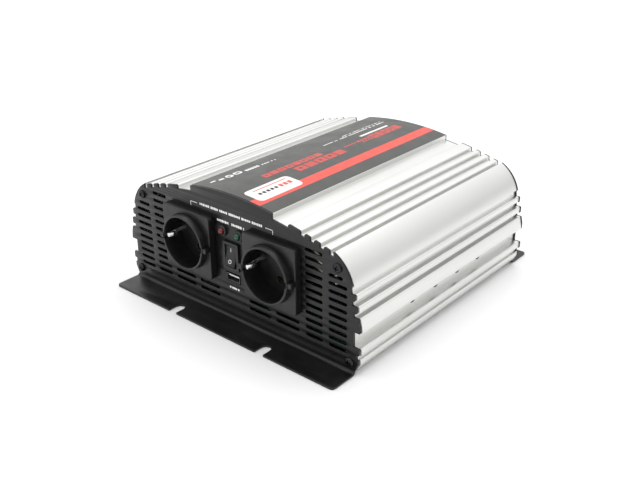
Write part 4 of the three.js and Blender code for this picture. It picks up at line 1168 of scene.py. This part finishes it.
def knob_mesh():
    """Fluted cap with a rounded rim, a shallow dish in its end and a blind bore."""
    start = TERMINAL["lift"] + TERMINAL["washer"]
    end = start + TERMINAL["knob_length"]
    r, count, tool = TERMINAL["knob"], TERMINAL["flutes"], 1.5
    away = r + 0.6
    reach = acos((away ** 2 + r ** 2 - tool ** 2) / (2 * away * r))
    outline = []
    for i in range(count):
        middle = 0.1 + i * 2 * pi / count
        swing = asin(r * sin(reach) / tool)
        for part in steps(-swing, swing, 6):
            x, z = away - tool * cos(part), tool * sin(part)
            outline.append((x * cos(middle) - z * sin(middle), x * sin(middle) + z * cos(middle)))
        after = middle + 2 * pi / count - reach
        outline += arc(0, 0, r, middle + reach, after, 5)[1:-1]
    body = extruded([outline], start, end, 0.8)
    bore = disc(TERMINAL["stud"] + 0.25, start - 1, end - 2.2, 40)
    dish = lathed([(0, end - 0.5), (6.6, end - 0.5), (7.2, end + 1), (0, end + 1)], 48)
    return carved(body, bore, dish)


def add_terminals():
    lift, washer, stud = (TERMINAL[key] for key in ("lift", "washer", "stud"))
    base, sleeve = TERMINAL["base"], TERMINAL["sleeve"]
    bore = stud + 0.2
    foot = lathed([
        (bore, -6), (sleeve, -6), (sleeve, 0), (base - 0.3, 0), (base, 0.3), (base, lift - 0.9),
        *arc(base - 0.9, lift - 0.9, 0.9, 0, pi / 2, 4)[1:], (9.6, lift), (9.3, lift - 0.25), (9.0, lift),
        (bore + 0.3, lift), (bore, lift - 0.3)], 64)
    end = lift + washer + TERMINAL["knob_length"] - 3
    bolt = lathed([
        (0, -14), (stud - 0.3, -14), (stud, -13.7), (stud, -10.5), (TERMINAL["head"] - 0.3, -10.5),
        (TERMINAL["head"], -10.2), (TERMINAL["head"], -6.3), (TERMINAL["head"] - 0.3, -6), (stud, -6),
        *threaded(stud, -5.5, end - 1), (stud - 0.8, end), (0, end)], 40, sharp=25)
    rim, hole = TERMINAL["washer_radius"], stud + 0.3
    top = lift + washer
    plate = lathed([
        (hole, lift + 0.15), (hole + 0.15, lift), (rim - 0.15, lift), (rim, lift + 0.15), (rim, top - 0.3),
        (rim - 0.3, top), (hole + 0.15, top), (hole, top - 0.15)], 48)
    knob = knob_mesh()
    for side, sign in (("positive", 1), ("negative", -1)):
        at = (sign * TERMINAL["x"], PANEL_FACE, TERMINAL["z"])
        color = "terminal_red" if sign > 0 else "terminal_black"
        piece(f"{side}_foot", foot, color, f"{side}_terminal_base", at=at)
        piece(f"{side}_stud", bolt, "brass", f"{side}_terminal_stud", at=at)
        piece(f"{side}_plate", plate, "zinc_steel", f"{side}_terminal_washer",
              body=f"{side}_washer", at=at)
        piece(f"{side}_cap", knob, color, f"{side}_terminal_knob", body=f"{side}_knob", at=at)
    signs = [rectangle(7, 1.4, sign * TERMINAL["x"], TERMINAL["z"] + 17) for sign in (-1, 1)]
    upright = rectangle(1.4, 7, TERMINAL["x"], TERMINAL["z"] + 17)
    bars = [extruded([mark], PANEL_FACE - 0.02, PANEL_FACE + 0.03) for mark in signs]
    bars.append(extruded([upright], PANEL_FACE - 0.02, PANEL_FACE + 0.032))
    piece("polarity_marks", merged(*bars), "panel_black", material=INK["white"])


# ---- Inside ----

MAIN_CAN, CHOKE = (-45, -35), (30, -25)
SMALL_CANS = ((20, -62), (33, -62), (46, -62), (59, -62), (26, -76), (40, -76), (-16, -78), (-30, -78))
TRANSISTORS = {"x": 92.1, "ys": (-58, -42, -26, -10, 6, 22, 38), "lift": 4}
STRAPS = {"line": ((58, -91), (64, -103.2), (93, -103.2), (98, -92)), "slope": 0.42, "level_x": 78,
          "heights": (78, 73.5, 67.5)}


def transistor_mesh():
    """Metal tab, moulded body and three legs, standing on the board with its tab towards -X."""
    tab = carved(slab(0, 1.2, -5, 5, 0, 15.6, 0.15), moved(disc(1.8, -3, 3, 20), z=13, turn=pi / 2))
    legs = [slab(2.2, 2.8, y - 0.35, y + 0.35, -4, 0.4, 0.06) for y in (-2.54, 0, 2.54)]
    return merged(tab, *legs), slab(1.0, 4.5, -4.9, 4.9, 0, 9.4, 0.35)


def can_mesh(radius, height):
    """Capacitor can: rolled rim, groove near the foot, and sleeve drawn over the edge of the lid."""
    sleeve = lathed([
        (0, 0), (radius - 0.6, 0), (radius, 0.6), (radius, 2.2), (radius - 0.5, 2.9), (radius, 3.6),
        (radius, height - 0.8), (radius - 0.8, height), (radius * 0.72, height),
        (radius * 0.70, height - 0.3), (0, height - 0.3)], 40, axis="Z")
    lid = disc(radius * 0.69, height - 0.35, height - 0.12, 36, "Z")
    cross = [slab(-radius * 0.5, radius * 0.5, -0.15, 0.15, height - 0.2, height, 0.02),
             slab(-0.15, 0.15, -radius * 0.5, radius * 0.5, height - 0.2, height, 0.02)]
    return sleeve, carved(lid, *cross)


def choke_mesh():
    """Ring core with turns of enamelled wire."""
    core = lathed([(7.0, -4.5), (12.6, -4.5), (13, -4.1), (13, 4.1), (12.6, 4.5), (7.0, 4.5), (6.6, 4.1),
                   (6.6, -4.1)], 48)
    turns = []
    for i in range(26):
        a = 0.5 + i * (2 * pi - 1.0) / 26
        loop = [(r * cos(a), y, r * sin(a)) for r, y in
                ((5.8, -5.2), (13.8, -5.2), (13.8, 5.2), (5.8, 5.2), (5.8, -5.2))]
        turns.append(tube(loop, 0.6, 8))
    return core, merged(*turns)


def add_inside():
    top = BOARD_TOP
    sleeve, lid = can_mesh(15, 42)
    place = (*MAIN_CAN, top)
    piece("main_capacitor", sleeve, "capacitor_sleeve", "bus_capacitor", at=place)
    piece("main_capacitor_lid", lid, "zinc_steel", at=place)
    small_sleeve, small_lid = can_mesh(5, 20)
    cans = [moved(small_sleeve, x, y, top) for x, y in SMALL_CANS]
    lids = [moved(small_lid, x, y, top) for x, y in SMALL_CANS]
    piece("small_capacitors", merged(*cans), "capacitor_sleeve")
    piece("small_capacitor_lids", merged(*lids), "zinc_steel")
    tabs, bodies = [], []
    metal, plastic = transistor_mesh()
    for sign in (-1, 1):
        for y in TRANSISTORS["ys"]:
            turn = 0 if sign > 0 else pi
            place = (sign * TRANSISTORS["x"], y, top + TRANSISTORS["lift"])
            tabs.append(moved(metal, *place, turn))
            bodies.append(moved(plastic, *place, turn))
    piece("transistor_tabs", merged(*tabs), "zinc_steel")
    piece("transistor_bodies", merged(*bodies), "socket_plastic")
    core, wire = choke_mesh()
    place = (*CHOKE, top + 14.6)
    piece("choke_core", core, "ferrite", at=place)
    piece("choke_winding", wire, "brass", at=place)
    strap = ribbon(STRAPS["line"], 0.6, 1.7, 1.6)
    slope = Matrix.Identity(4)
    slope[2][0], slope[2][3] = -STRAPS["slope"], STRAPS["slope"] * STRAPS["level_x"]
    strap.transform(slope)
    straps = [moved(strap, z=z) for z in STRAPS["heights"]]
    piece("bonding_straps", merged(*straps), "spring_metal", material=BRIGHT_METAL)
    connectors = [slab(x, x + 16, -92, -84, top, top + 9, 0.5) for x in (-52, 8)]
    piece("board_connectors", merged(*connectors), "white_plastic")


# ---- Build ----

def kept_nodes():
    """CAD nodes whose own shape stays get their slot's procedural finish."""
    slots = {row["node"]: row["material_slot"] for row in frame["record"]["subparts"]}
    for name, node in frame["nodes"].items():
        if not node.hide_render:
            node.data.materials.clear()
            node.data.materials.append(FINISH[slots[name]])


def add_stage():
    mesh = bpy.data.meshes.new("floor")
    mesh.from_pydata([(x, y, 0) for x, y in rectangle(12, 12)], [], [(0, 1, 2, 3)])
    mesh.materials.append(floor_paper())
    floor = linked("floor", mesh)
    floor.location.z = -0.0002


def add_light():
    """A soft studio, brightest above and a little to the left, in front of a white backdrop."""
    world = bpy.data.worlds.new("studio")
    world.use_nodes = True
    tree = world.node_tree
    direction = tree.nodes.new("ShaderNodeTexCoord").outputs["Generated"]
    towards = tree.nodes.new("ShaderNodeVectorMath")
    towards.operation = "DOT_PRODUCT"
    towards.inputs[1].default_value = Vector(STUDIO["bright_side"]).normalized()
    tree.links.new(direction, towards.inputs[0])
    level = mapped(tree, towards.outputs["Value"], -0.3, 0.8, *STUDIO["levels"])
    tree.nodes["Background"].inputs["Color"].default_value = (1, 1, 1, 1)
    backdrop = tree.nodes.new("ShaderNodeMix")
    tree.links.new(tree.nodes.new("ShaderNodeLightPath").outputs["Is Camera Ray"], backdrop.inputs["Factor"])
    tree.links.new(level, backdrop.inputs["A"])
    backdrop.inputs["B"].default_value = 1.0
    tree.links.new(backdrop.outputs["Result"], tree.nodes["Background"].inputs["Strength"])
    bpy.context.scene.world = world
    sun = bpy.data.lights.new("overhead", "SUN")
    sun.energy = STUDIO["sun"]
    sun.angle = radians(STUDIO["soft"])
    linked("overhead", sun).rotation_euler = [radians(angle) for angle in STUDIO["tilt"]]


def add_camera():
    """The view from the right in front and above, with a slight roll."""
    azimuth, elevation, roll = (radians(CAMERA[key]) for key in ("azimuth", "elevation", "roll"))
    away = Vector((-sin(azimuth) * cos(elevation), cos(azimuth) * cos(elevation),
                   -sin(elevation)))
    level = Vector((cos(azimuth), sin(azimuth), 0))
    up = level.cross(away)
    right = level * cos(roll) + up * sin(roll)
    top = right.cross(away)
    data = bpy.data.cameras.new("camera")
    data.sensor_width = 36
    data.lens = CAMERA["lens"]
    data.clip_start = 0.01
    camera = linked("camera", data)
    camera.matrix_world = Matrix.Translation(CAMERA["place"]) @ Matrix(
        (right, top, -away)).transposed().to_4x4()
    bpy.context.scene.camera = camera
    bpy.context.scene.view_settings.view_transform = "Standard"


add_camera()
add_stage()
add_light()
add_case()
add_panels()
add_label()
add_screws()
add_sockets()
add_lamps()
add_switch()
add_usb()
add_legends()
add_fan()
add_terminals()
add_inside()
kept_nodes()
